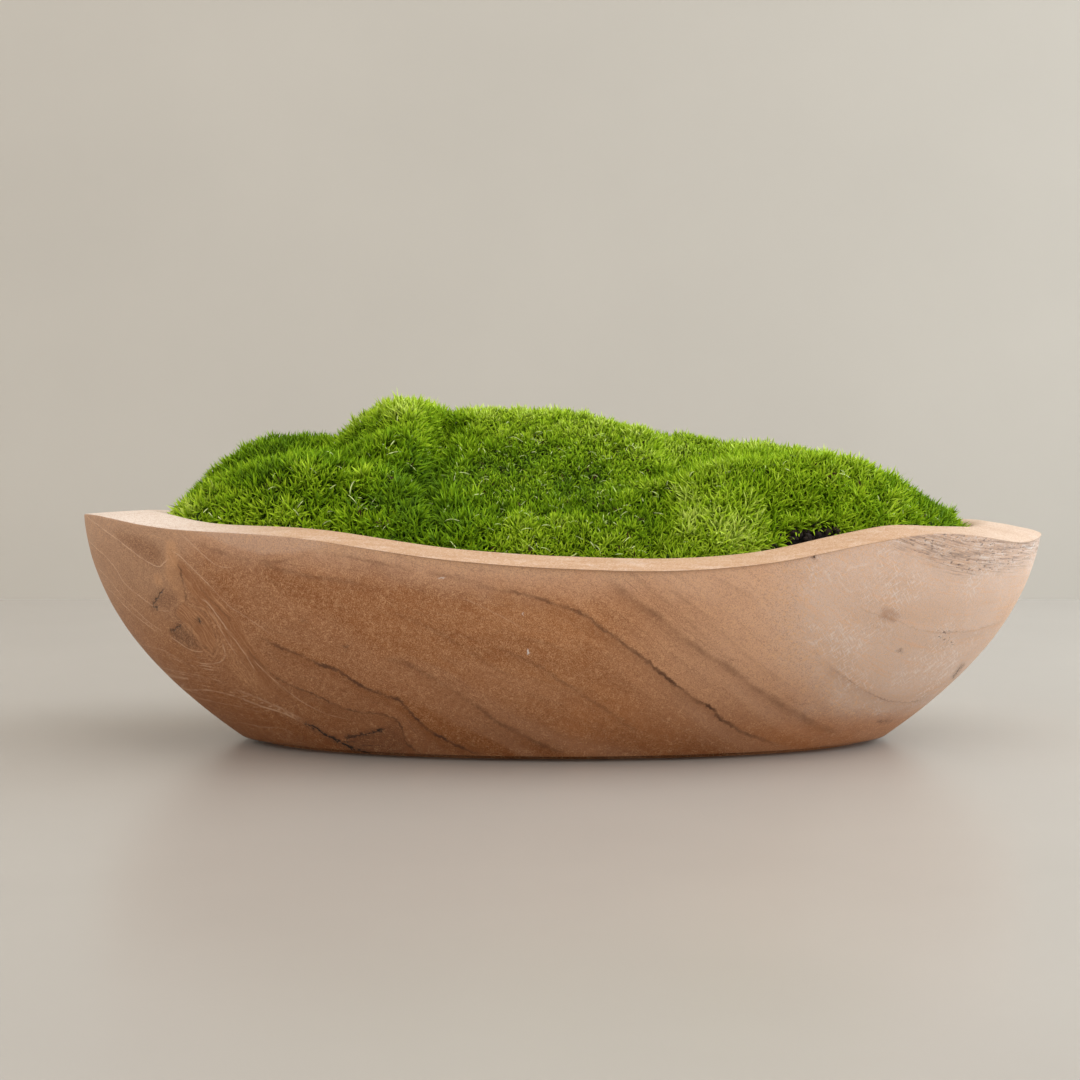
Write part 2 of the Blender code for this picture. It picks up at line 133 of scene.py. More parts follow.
class Tree:
    """A node tree under construction, with short calls for what every finish uses."""

    def __init__(self, tree: bpy.types.NodeTree) -> None:
        """Start on the tree of a material or of a node group."""
        self.tree = tree

    def feed(self, socket: Socket, value: object) -> None:
        """Link an output to a socket, or set the socket's own value.

        Args:
            socket: The input socket.
            value: An output socket, a number, a vector or a colour in screen steps.
        """
        if isinstance(value, Socket):
            self.tree.links.new(value, socket)
        else:
            socket.default_value = tint(*value) if socket.type == "RGBA" else value

    def feed_all(self, made: bpy.types.Node, inputs: dict) -> None:
        """Feed a node's input sockets, by name or number."""
        for name, value in inputs.items():
            self.feed(made.inputs[name], value)

    def node(self, kind: str, inputs: dict | None = None, **settings) -> bpy.types.Node:
        """Add a node.

        Args:
            kind: The node's Blender type.
            inputs: What its input sockets take, by name or number.
            settings: The node's own settings.

        Returns:
            The node.
        """
        made = self.tree.nodes.new(kind)
        for name, value in settings.items():
            setattr(made, name, value)
        self.feed_all(made, inputs or {})
        return made

    def math(self, operation: str, *values: object, clamp: bool = False) -> Socket:
        """The result of a Math node, whose operation is given in Blender's word."""
        inputs = dict(enumerate(values))
        return self.node("ShaderNodeMath", inputs, operation=operation, use_clamp=clamp).outputs[0]

    def mul(self, *values: object) -> Socket:
        """The product of values."""
        return reduce(lambda first, second: self.math("MULTIPLY", first, second), values)

    def add(self, *values: object) -> Socket:
        """The sum of values."""
        return reduce(lambda first, second: self.math("ADD", first, second), values)

    def minus(self, first: object, second: object) -> Socket:
        """The first value less the second."""
        return self.math("SUBTRACT", first, second)

    def away(self, value: object) -> Socket:
        """How far a value is from 0."""
        return self.math("ABSOLUTE", value)

    def sway(self, value: object, wave: object, reach: float) -> Socket:
        """A value shifted by a wave times a reach."""
        return self.add(value, self.mul(wave, reach))

    def join(self, *parts: object) -> Socket:
        """A vector of up to three parts."""
        return self.node("ShaderNodeCombineXYZ", dict(enumerate(parts))).outputs[0]

    def split(self, value: object) -> tuple[Socket, ...]:
        """The three parts of a vector."""
        return tuple(self.node("ShaderNodeSeparateXYZ", {0: value}).outputs)

    def band(self, value: object, low: object, high: object) -> Socket:
        """A smooth rise from 0 at low to 1 at high, or a fall where low is the greater."""
        inputs = {"Value": value, "From Min": low, "From Max": high}
        return self.node("ShaderNodeMapRange", inputs, interpolation_type="SMOOTHSTEP").outputs["Result"]

    def mix(self, share: object, first: object, second: object, blend: str = "MIX") -> Socket:
        """A mix of two colours, of which the second shows by the share."""
        inputs = {0: share, 6: first, 7: second}
        return self.node("ShaderNodeMix", inputs, data_type="RGBA", blend_type=blend).outputs[2]

    def noise(self, place: object, scale: object, detail: float = 2.0, bend: float = 0.0) -> Socket:
        """A Noise Texture's value, mostly between 0.3 and 0.7, with a scale in waves to the metre."""
        inputs = {"Vector": place, "Scale": scale, "Detail": detail, "Distortion": bend}
        return self.node("ShaderNodeTexNoise", inputs).outputs[0]

    def wave(self, place: object, scale: object, detail: float, bend: float = 0.0) -> Socket:
        """A noise that swings about 0."""
        return self.minus(self.noise(place, scale, detail, bend), 0.5)

    def stretched(self, place: object, waves: tuple, detail: float = 2.0) -> Socket:
        """A noise with its own number of waves along each axis."""
        made = self.node("ShaderNodeVectorMath", {0: place, 1: waves}, operation="MULTIPLY")
        return self.noise(made.outputs[0], 1.0, detail)

    def ramp(self, value: object, stops: tuple | list) -> Socket:
        """A Color Ramp's colour.

        Args:
            value: The place on the ramp.
            stops: Pairs of place and colour in screen steps.

        Returns:
            The colour's socket.
        """
        made = self.node("ShaderNodeValToRGB", {0: value})
        elements = made.color_ramp.elements
        while len(elements) < len(stops):
            elements.new(0.5)
        for element, (place, colour) in zip(elements, stops):
            element.position = place
            element.color = tint(*colour)
        return made.outputs[0]

    def place(self) -> Socket:
        """The object's own coordinates."""
        return self.node("ShaderNodeTexCoord").outputs["Object"]

    def attribute(self, name: str, output: str = "Fac") -> Socket:
        """What the mesh holds at its vertices under a name."""
        made = self.node("ShaderNodeAttribute", attribute_name=name, attribute_type="GEOMETRY")
        return made.outputs[output]

    def triple(self, name: str) -> tuple[Socket, ...]:
        """The three numbers that the mesh holds together at its vertices."""
        return self.split(self.attribute(name, "Vector"))


class Coat:
    """A colour that others are laid over, one after another."""

    def __init__(self, tree: Tree, colour: object) -> None:
        """Start with a ground colour, as a socket or as screen steps."""
        self.tree = tree
        self.colour = colour

    def over(self, mask: object, colour: object, amount: float = 1.0) -> None:
        """Lay a colour over what the mask shows, by no more than the amount."""
        self.colour = self.tree.mix(self.tree.mul(mask, amount), self.colour, colour)

    def where(self, value: object, low: object, high: object, colour: object, amount: float = 1.0,
              *masks: object) -> None:
        """Lay a colour over where a value has gone from low to high, within any masks."""
        self.over(self.tree.mul(self.tree.band(value, low, high), *masks), colour, amount)

    def mottled(self, groups: "Groups", place: object, scale: float, strength: float) -> None:
        """Make the colour uneven with the shared mottle."""
        inputs = {"Place": place, "Scale": scale, "Strength": strength, "Color": self.colour}
        self.colour = self.tree.node("ShaderNodeGroup", inputs, node_tree=groups.mottle).outputs["Color"]


def new_group(name: str, inputs: tuple, output: tuple) -> tuple[Tree, list[Socket], Socket]:
    """Start a node group.

    Args:
        name: The group's name.
        inputs: Triples of socket name, socket kind and default value.
        output: The name and kind of its one output.

    Returns:
        The group's tree, its inputs in order, and the socket that takes its result.
    """
    group = bpy.data.node_groups.new(name, "ShaderNodeTree")
    for label, kind, value in inputs:
        socket = group.interface.new_socket(name=label, in_out="INPUT", socket_type=kind)
        if value is not None:
            socket.default_value = value
    group.interface.new_socket(name=output[0], in_out="OUTPUT", socket_type=output[1])
    tree = Tree(group)
    start = tree.node("NodeGroupInput")
    return tree, list(start.outputs)[:len(inputs)], tree.node("NodeGroupOutput").inputs[0]


def mottle_group() -> bpy.types.NodeTree:
    """The group that makes a colour uneven: lighter and darker clouds with finer ones in them.

    Returns:
        A group that takes a place, a scale, a strength and a colour and gives the uneven colour.
    """
    inputs = (
        ("Place", "NodeSocketVector", None),
        ("Scale", "NodeSocketFloat", 20.0),
        ("Strength", "NodeSocketFloat", 0.1),
        ("Color", "NodeSocketColor", None),
    )
    tree, (place, scale, strength, colour), end = new_group("mottle", inputs, ("Color", "NodeSocketColor"))
    swing = tree.mul(tree.wave(place, scale, 4.0), strength)
    level = tree.add(tree.mul(swing, 4.0), 1.0)
    tree.feed(end, tree.mix(1.0, colour, tree.join(level, level, level), "MULTIPLY"))
    return tree.tree


def fleck_group() -> bpy.types.NodeTree:
    """The group that draws fine curled flecks, as open pores catch the light.

    Returns:
        A group that takes a place, a scale and a width and gives the mask of the flecks.
    """
    inputs = (
        ("Place", "NodeSocketVector", None),
        ("Scale", "NodeSocketFloat", 300.0),
        ("Width", "NodeSocketFloat", 0.04),
    )
    tree, (place, scale, width), end = new_group("flecks", inputs, ("Mask", "NodeSocketFloat"))
    ridge = tree.band(tree.away(tree.wave(place, scale, 0.0, 1.0)), width, 0.0)
    gaps = tree.noise(place, tree.mul(scale, 0.4), 1.0)
    tree.feed(end, tree.mul(ridge, tree.band(gaps, 0.30, 0.56)))
    return tree.tree


@dataclass(frozen=True)
class Groups:
    """The effects that more than one finish uses."""

    mottle: bpy.types.NodeTree
    flecks: bpy.types.NodeTree

    @staticmethod
    def build() -> "Groups":
        """Make every shared group once."""
        return Groups(mottle_group(), fleck_group())


def new_material(name: str, slot: Slot | None) -> tuple[Material, Tree, bpy.types.Node]:
    """Start a material.

    Args:
        name: The material's name.
        slot: The record's slot that it stands for, or None for the stage.

    Returns:
        The material, its tree and its Principled BSDF.
    """
    material = bpy.data.materials.new(name)
    material.use_nodes = True
    if slot:
        material["record_slot"] = slot.value
    return material, Tree(material.node_tree), material.node_tree.nodes["Principled BSDF"]


@dataclass(frozen=True)
class Line:
    """A line in the wood, by the pixels that it runs through in the photograph."""

    pixels: tuple
    width: float = 0.7
    start: float = 1.0
    end: float = 1.0
    fade: float = 8.0


DARK_LINES = (
    Line(((418, 574), (477, 586), (516, 592), (550, 602), (574, 610), (598, 625), (622, 643), (647, 661),
          (671, 681), (695, 700), (712, 708), (719, 717), (739, 730), (760, 739), (782, 747), (800, 752)),
         width=1.5, start=0.25, end=1.25, fade=60.0),
    Line(((600, 572), (613, 583), (634, 600), (659, 617), (683, 637), (707, 654), (731, 668), (756, 688),
          (780, 703), (799, 715), (819, 725), (845, 736)), width=3.0, start=0.7, end=0.5, fade=14.0),
    Line(((380, 656), (404, 663), (428, 675), (453, 690), (477, 707), (501, 724), (525, 736), (550, 748),
          (574, 757)), width=2.2, start=0.6, end=0.5, fade=10.0),
    Line(((252, 634), (272, 643), (287, 650), (303, 656), (315, 662), (335, 669), (350, 678), (364, 687),
          (383, 695), (400, 701), (411, 712), (424, 726), (448, 741), (470, 751), (487, 759)),
         width=1.3, start=0.6, end=1.15, fade=16.0),
    Line(((246, 646), (254, 657), (265, 668), (279, 679), (294, 687), (313, 694), (327, 701), (346, 709),
          (363, 712), (381, 714), (394, 718), (401, 725), (405, 740), (414, 749), (427, 758)),
         width=0.9, start=0.7, end=0.7, fade=8.0),
    Line(((825, 661), (839, 673), (851, 681), (866, 691), (882, 699), (898, 703), (918, 701), (938, 691)),
         width=0.5, start=0.36, end=0.25, fade=10.0),
    Line(((846, 600), (868, 612), (894, 620), (914, 628), (938, 632), (961, 632), (983, 628), (1007, 618)),
         width=0.6, start=0.1, end=0.24, fade=14.0),
    Line(((176, 562), (181, 572), (184, 588), (187, 600), (184, 604)), width=0.7, start=0.7, end=0.6,
         fade=3.0),
    Line(((608, 560), (640, 580), (668, 603), (700, 632), (728, 652)), width=1.4, start=0.16, end=0.12,
         fade=16.0),
    Line(((648, 574), (690, 604), (730, 640), (764, 668), (800, 694)), width=1.6, start=0.14, end=0.14,
         fade=20.0),
    Line(((415, 571), (452, 578), (500, 588)), width=2.6, start=0.5, end=0.3, fade=14.0),
    Line(((192, 540), (214, 549), (238, 558), (264, 562), (290, 560), (314, 552), (334, 547)), width=1.6,
         start=0.4, end=0.15, fade=12.0),
    Line(((306, 548), (340, 556), (380, 563), (425, 573)), width=1.6, start=0.3, end=0.4, fade=16.0),
    Line(((250, 560), (300, 575), (350, 582), (400, 592)), width=1.8, start=0.3, end=0.2, fade=16.0),
    Line(((480, 640), (540, 668), (600, 706), (650, 742)), width=1.8, start=0.3, end=0.3, fade=20.0),
    Line(((700, 571), (742, 592), (765, 612)), width=1.8, start=0.2, end=0.1, fade=20.0),
    Line(((355, 600), (392, 612), (430, 628), (470, 652), (520, 684)), width=2.0, start=0.12, end=0.25,
         fade=25.0),
)
LIGHT_LINES = (
    Line(((86, 515), (102, 528), (119, 541), (136, 554), (149, 563), (159, 567), (165, 562), (170, 557)),
         width=0.45, fade=3.0),
    Line(((88, 540), (102, 553), (114, 566), (124, 582), (136, 593), (153, 606), (161, 611), (172, 611)),
         width=0.4, fade=3.0),
    Line(((98, 568), (110, 580), (121, 595), (136, 610), (149, 622), (163, 632)), width=0.4, fade=3.0),
    Line(((102, 583), (115, 595), (127, 608), (141, 620), (153, 629), (166, 639)), width=0.4, fade=3.0),
    Line(((169, 549), (180, 556), (190, 566), (203, 579), (215, 591), (229, 606), (246, 617), (262, 628),
          (276, 638), (290, 644)), width=0.45, start=1.0, end=0.5, fade=6.0),
    Line(((168, 635), (178, 642), (191, 650), (205, 652)), width=0.45, fade=3.0),
    Line(((187, 657), (198, 662), (209, 664), (220, 662), (225, 655), (222, 642)), width=0.5, fade=3.0),
    Line(((165, 655), (190, 665), (218, 671)), width=0.5, start=0.5, fade=5.0),
    Line(((186, 683), (183, 689), (205, 690), (224, 693), (243, 699), (261, 706), (283, 713), (302, 722)),
         width=0.9, start=0.7, fade=5.0),
    Line(((190, 679), (215, 684), (245, 692), (270, 702)), width=0.4, start=0.6, end=0.4, fade=6.0),
    Line(((200, 598), (208, 603), (219, 618), (233, 637), (247, 657), (256, 672)), width=0.6, fade=4.0),
    Line(((207, 609), (216, 622), (227, 640), (238, 657)), width=0.5, start=0.9, end=0.5, fade=4.0),
    Line(((251, 657), (262, 669), (275, 681), (301, 701), (327, 714), (350, 720)), width=0.5, start=0.8,
         end=0.5, fade=6.0),
    Line(((178, 531), (191, 543), (205, 556), (218, 566), (234, 568)), width=0.5, start=0.5, end=0.7,
         fade=5.0),
    Line(((123, 643), (145, 646), (165, 651), (184, 662), (201, 671)), width=0.4, start=0.5, end=0.5,
         fade=4.0),
    Line(((161, 672), (190, 679), (216, 684), (246, 693), (272, 704), (304, 720)), width=1.1, start=0.6,
         end=0.9, fade=5.0),
    Line(((150, 662), (180, 672), (205, 677), (228, 683)), width=0.6, start=0.5, end=0.5, fade=5.0),
    Line(((196, 697), (220, 703), (246, 708), (270, 715)), width=0.6, start=0.5, end=0.3, fade=6.0),
    Line(((238, 722), (262, 727), (284, 729), (300, 740)), width=0.7, start=0.5, end=0.2, fade=5.0),
    Line(((445, 590), (480, 606), (512, 622), (535, 637)), width=0.6, start=0.35, end=0.45, fade=16.0),
)
CRACKS = (
    Line(((166, 589), (159, 596), (154, 606), (160, 610)), width=0.7, start=0.7, end=0.8, fade=2.0),
    Line(((182, 623), (176, 630), (169, 631)), width=0.8, start=0.7, end=0.6, fade=2.0),
    Line(((302, 721), (311, 726), (322, 733), (335, 740), (352, 748), (372, 759)), width=0.9, fade=4.0),
    Line(((343, 739), (350, 738), (364, 735), (376, 732), (386, 729)), width=1.0, start=0.6, fade=3.0),
    Line(((197, 618), (199, 622), (202, 625)), width=1.1, fade=1.0),
    Line(((952, 680), (959, 671), (966, 663)), width=0.8, start=0.7, end=0.8, fade=2.0),
    Line(((900, 653), (902, 649)), width=0.5, start=0.8, end=0.8, fade=0.5),
    Line(((876, 721), (894, 721)), width=0.5, start=0.4, end=0.4, fade=2.0),
    Line(((811, 557), (817, 556)), width=0.4, start=0.9, end=0.9, fade=0.5),
    Line(((340, 647), (352, 647)), width=0.9, start=0.45, end=0.3, fade=3.0),
    Line(((300, 620), (309, 621)), width=0.7, start=0.3, end=0.2, fade=2.0),
)
PALE_MARKS = (
    Line(((523, 613), (523, 615)), width=0.55, start=0.7, end=0.7, fade=0.2),
    Line(((528, 650), (528, 654)), width=0.75, fade=0.2),
    Line(((438, 578), (444, 577)), width=0.5, start=0.6, end=0.6, fade=0.5),
    Line(((822, 569), (828, 575), (832, 586)), width=0.9, start=0.25, end=0.2, fade=2.0),
    Line(((838, 580), (850, 592), (854, 588)), width=0.9, start=0.2, end=0.2, fade=2.0),
    Line(((846, 568), (860, 566), (872, 562)), width=1.1, start=0.2, end=0.2, fade=3.0),
    Line(((806, 640), (816, 646)), width=1.0, start=0.25, end=0.2, fade=1.5),
    Line(((1022, 545), (1032, 548), (1036, 541)), width=1.0, start=0.7, end=0.8, fade=1.5),
)
FLAME_AXIS = (
    (168, 536), (173, 553), (184, 571), (204, 596), (226, 621), (244, 646), (261, 672), (275, 690),
    (300, 707), (330, 722),
)
TONGUE_EDGE = (
    (175, 611), (184, 603), (193, 608), (201, 611), (209, 621), (216, 636), (218, 648), (213, 653),
    (208, 649), (201, 643), (194, 634), (187, 625), (178, 618),
)
COLUMN_EDGE = (
    (166, 540), (176, 541), (178, 556), (179, 568), (184, 582), (188, 598), (183, 604), (177, 596),
    (171, 586), (165, 576), (165, 562),
)
FOOT_EDGE = (
    (221, 650), (232, 655), (244, 662), (258, 672), (266, 683), (272, 693), (262, 695), (248, 690),
    (238, 680), (228, 668),
)
LOWER_EYE_EDGE = ((170, 633), (180, 624), (189, 632), (197, 642), (201, 650), (189, 649), (176, 642))
UPPER_EYE_EDGE = ((156, 604), (163, 592), (175, 590), (180, 598), (176, 606), (165, 609))
PALE_OVAL_EDGE = ((153, 574), (159, 573), (164, 581), (161, 588), (154, 583))
SAPWOOD_EDGE = (
    (803, 552), (792, 600), (797, 640), (812, 668), (828, 701), (852, 714), (880, 720), (928, 711),
    (972, 672), (1008, 610), (1056, 545), (1060, 500), (960, 505), (880, 530),
)
PINK_LENS_EDGE = ((196, 533), (228, 545), (262, 555), (292, 553), (330, 545), (300, 528), (240, 524))
WEATHERED_EDGE = (
    (880, 532), (902, 545), (930, 560), (968, 572), (1008, 570), (1040, 548), (1040, 530), (980, 534),
    (930, 528),
)
SPECKLED_EDGE = ((936, 631), (955, 629), (957, 641), (948, 652), (935, 645))
SHADED_GRAIN_EDGE = ((352, 736), (372, 731), (396, 722), (410, 745), (400, 758), (372, 756), (352, 747))
BROWN_SPOT_EDGE = ((884, 611), (893, 612), (898, 616), (892, 619), (883, 617))
DARK_PATCH_EDGE = ((118, 535), (140, 537), (158, 548), (163, 559), (156, 564), (142, 557), (126, 544))
GRAIN_GUIDES = (
    (0.0, ((88, 540), (114, 566), (136, 593), (161, 611), (190, 650), (226, 694), (262, 706), (310, 728))),
    (1.0, ((246, 646), (279, 679), (327, 701), (363, 712), (401, 725), (427, 758))),
    (1.6, ((252, 634), (287, 650), (335, 669), (383, 695), (411, 712), (448, 741), (487, 759))),
    (2.8, ((380, 656), (428, 675), (477, 707), (525, 736), (574, 757))),
    (4.6, ((418, 574), (516, 592), (574, 610), (622, 643), (671, 681), (719, 717), (760, 739), (800, 752))),
    (6.0, ((600, 572), (634, 600), (683, 637), (731, 668), (780, 703), (819, 725))),
    (7.4, ((742, 592), (790, 640), (825, 661), (866, 691), (898, 703), (938, 691))),
    (8.6, ((846, 600), (894, 620), (938, 632), (983, 628), (1007, 618))),
    (9.6, ((900, 545), (950, 560), (1000, 566))),
)


def smooth_path(points: np.ndarray, steps: int = 5) -> np.ndarray:
    """Put extra points between those of a path, on a smooth curve through them.

    Args:
        points: The path's points, one to a row.
        steps: How many stretches each one is cut into.

    Returns:
        The finer path.
    """
    if len(points) < 3:
        return points
    ends = np.vstack((2 * points[0] - points[1], points, 2 * points[-1] - points[-2]))
    fine = []
    for before, start, end, after in zip(ends, ends[1:], ends[2:], ends[3:]):
        for u in np.arange(steps) / steps:
            fine.append(
                0.5 * (2 * start + (end - before) * u + (2 * before - 5 * start + 4 * end - after) * u ** 2
                       + (3 * start - before - 3 * end + after) * u ** 3)
            )
    return np.array([*fine, points[-1]])


def offsets_from(path: np.ndarray, places: np.ndarray) -> tuple[np.ndarray, np.ndarray, np.ndarray]:
    """Measure where places lie beside a path.

    Args:
        path: The path's points, one to a row.
        places: The places, one to a row.

    Returns:
        For each place its distance from the path, the side that it is on as +1 or -1, and how far
        along the path its nearest point lies.
    """
    best = np.full(len(places), np.inf)
    side = np.ones(len(places))
    along = np.zeros(len(places))
    run_so_far = 0.0
    for start, end in zip(path, path[1:]):
        run = end - start
        length = float(np.hypot(*run))
        way = places - start
        share = np.clip(way @ run / length ** 2, 0.0, 1.0)
        away = np.hypot(*(way - share[:, None] * run).T)
        nearer = away < best
        best[nearer] = away[nearer]
        side[nearer] = np.sign(run[0] * way[nearer, 1] - run[1] * way[nearer, 0])
        along[nearer] = run_so_far + share[nearer] * length
        run_so_far += length
    return best, side, along


def distance_into(outline: np.ndarray, places: np.ndarray) -> np.ndarray:
    """Measure how far outside a closed outline places lie.

    Args:
        outline: The outline's points, one to a row.
        places: The places, one to a row.

    Returns:
        The distances, below 0 inside the outline.
    """
    ring = np.vstack((outline, outline[:1]))
    away = offsets_from(ring, places)[0]
    inside = np.zeros(len(places), bool)
    for start, end in zip(ring, ring[1:]):
        if start[1] == end[1]:
            continue
        crosses = (start[1] > places[:, 1]) != (end[1] > places[:, 1])
        at = start[0] + (end[0] - start[0]) * (places[:, 1] - start[1]) / (end[1] - start[1])
        inside ^= crosses & (places[:, 0] < at)
    return np.where(inside, -away, away)


def thin_plate(knots: np.ndarray, values: np.ndarray, places: np.ndarray, stiffness: float) -> np.ndarray:
    """Bend a thin plate through values at knots and read it elsewhere.

    Args:
        knots: The knots, one to a row.
        values: The value at each knot.
        places: Where the plate is read, one to a row.
        stiffness: How much the plate may miss the knots to stay smooth.

    Returns:
        The plate's value at each place.
    """

    def pull(near: np.ndarray, far: np.ndarray) -> np.ndarray:
        """The plate's kernel between two sets of points."""
        square = ((near[:, None, :] - far[None, :, :]) ** 2).sum(2)
        return square * np.log(square + 1e-12)

    count = len(knots)
    flat = np.hstack((np.ones((count, 1)), knots))
    system = np.zeros((count + 3, count + 3))
    system[:count, :count] = pull(knots, knots) + stiffness * np.eye(count)
    system[:count, count:] = flat
    system[count:, :count] = flat.T
    weights = np.linalg.solve(system, np.concatenate((values, np.zeros(3))))
    read = np.empty(len(places))
    for begin in range(0, len(places), 8192):
        part = places[begin:begin + 8192]
        read[begin:begin + 8192] = pull(part, knots) @ weights[:count] + weights[count]
        read[begin:begin + 8192] += part @ weights[count + 1:]
    return read


def set_attribute(mesh: Mesh, name: str, values: np.ndarray) -> None:
    """Store one number, or a row of three, for each vertex of a mesh."""
    kind, key = ("FLOAT", "value") if values.ndim == 1 else ("FLOAT_VECTOR", "vector")
    layer = mesh.attributes.new(name, kind, "POINT")
    layer.data.foreach_set(key, values.astype(np.float32).ravel())


def all_of(items: object, key: str, parts: int = 1, kind: type = np.int32) -> np.ndarray:
    """Read one property of everything in a collection.

    Args:
        items: The collection.
        key: The property.
        parts: How many numbers it has for each item.
        kind: The kind of its numbers.

    Returns:
        The numbers in one flat row.
    """
    values = np.empty(len(items) * parts, kind)
    items.foreach_get(key, values)
    return values


def link_object(mesh: Mesh, material: Material, sharp: float) -> Object:
    """Put a finished mesh into the scene as an object of the same name.

    Args:
        mesh: The mesh.
        material: Its finish.
        sharp: Edges that bend by more than this, in degrees, stay sharp.

    Returns:
        The object.
    """
    mesh.materials.clear()
    mesh.materials.append(material)
    mesh.shade_smooth()
    mesh.set_sharp_from_angle(angle=math.radians(sharp))
    return add_object(mesh)


def mesh_of(bm: bmesh.types.BMesh, name: str) -> Mesh:
    """Turn a mesh under construction into a finished one.

    Args:
        bm: The mesh under construction, which is given up.
        name: The finished mesh's name.

    Returns:
        The finished mesh.
    """
    mesh = bpy.data.meshes.new(name)
    bm.to_mesh(mesh)
    bm.free()
    return mesh


def hand_over(piece: Object, node: str) -> None:
    """Hang a piece on the body that it rides on, hide the CAD node that it stands for and log it.

    Args:
        piece: The piece.
        node: The CAD node that it replaces.
    """
    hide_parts(node)
    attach(piece, BODY)
    log.info("%s: %d faces, for %s", piece.name, len(piece.data.polygons), node)


def ring_curve(stops: dict, angles: np.ndarray) -> np.ndarray:
    """Read a smooth closed curve through stops.

    Args:
        stops: Values by angle in degrees, from 0 on.
        angles: The angles at which the curve is read.

    Returns:
        The curve's values.
    """
    marks = np.array(sorted(stops), float)
    heights = np.array([stops[mark] for mark in sorted(stops)], float)
    count = len(marks)
    turned = np.mod(angles, 360.0)
    first = np.searchsorted(marks, turned, side="right") - 1
    spots = [first - 1, first, first + 1, first + 2]
    at = [marks[spot % count] + 360 * (spot // count) for spot in spots]
    value = [heights[spot % count] for spot in spots]
    span = at[2] - at[1]
    slope_in = (value[2] - value[0]) / (at[2] - at[0])
    slope_out = (value[3] - value[1]) / (at[3] - at[1])
    u = (turned - at[1]) / span
    share = 2 * u ** 3 - 3 * u ** 2 + 1
    turn_in = (u ** 3 - 2 * u ** 2 + u) * span * slope_in
    turn_out = (u ** 3 - u ** 2) * span * slope_out
    return share * value[1] + (1 - share) * value[2] + turn_in + turn_out


def bend(start: np.ndarray, corner: np.ndarray, end: np.ndarray, share: float) -> np.ndarray:
    """The ring at a share of the way round a rounded corner between two rings."""
    return start * (1 - share) ** 2 + corner * 2 * share * (1 - share) + end * share ** 2


@dataclass(frozen=True)
class Oval:
    """An oval round the origin. Its squareness is 2 for an ellipse and more for squarer corners."""

    length: float
    width: float
    squareness: float

    def points(self, angles: np.ndarray) -> np.ndarray:
        """Points on the oval.

        Args:
            angles: Their angles in degrees.

        Returns:
            The points, one to a row, at height 0.
        """
        cos, sin = np.cos(np.radians(angles)), np.sin(np.radians(angles))
        x = np.sign(cos) * np.abs(cos) ** (2 / self.squareness) * self.length / 2
        y = np.sign(sin) * np.abs(sin) ** (2 / self.squareness) * self.width / 2
        return np.stack((x, y, np.zeros(len(x))), axis=1)

    def angles(self, places: np.ndarray) -> np.ndarray:
        """The angles in degrees at which places lie round the oval."""
        shares = np.abs(2 * places[:, :2] / (self.length, self.width)) ** (self.squareness / 2)
        x, y = (np.sign(places[:, :2]) * shares).T
        return np.degrees(np.arctan2(y, x))


class Band(Enum):
    """The parts of the bowl's skin, each with its rows on the baked map."""

    WALL = (0.00, 0.31)
    TOP = (0.64, 0.74)
    HOLLOW = (0.86, 0.92)
    BASE = (0.99, 1.00)


@dataclass(frozen=True)
class Ring:
    """One ring of the bowl's skin: its points and the part that it ends."""

    points: np.ndarray
    band: Band
    top: float = 0.0


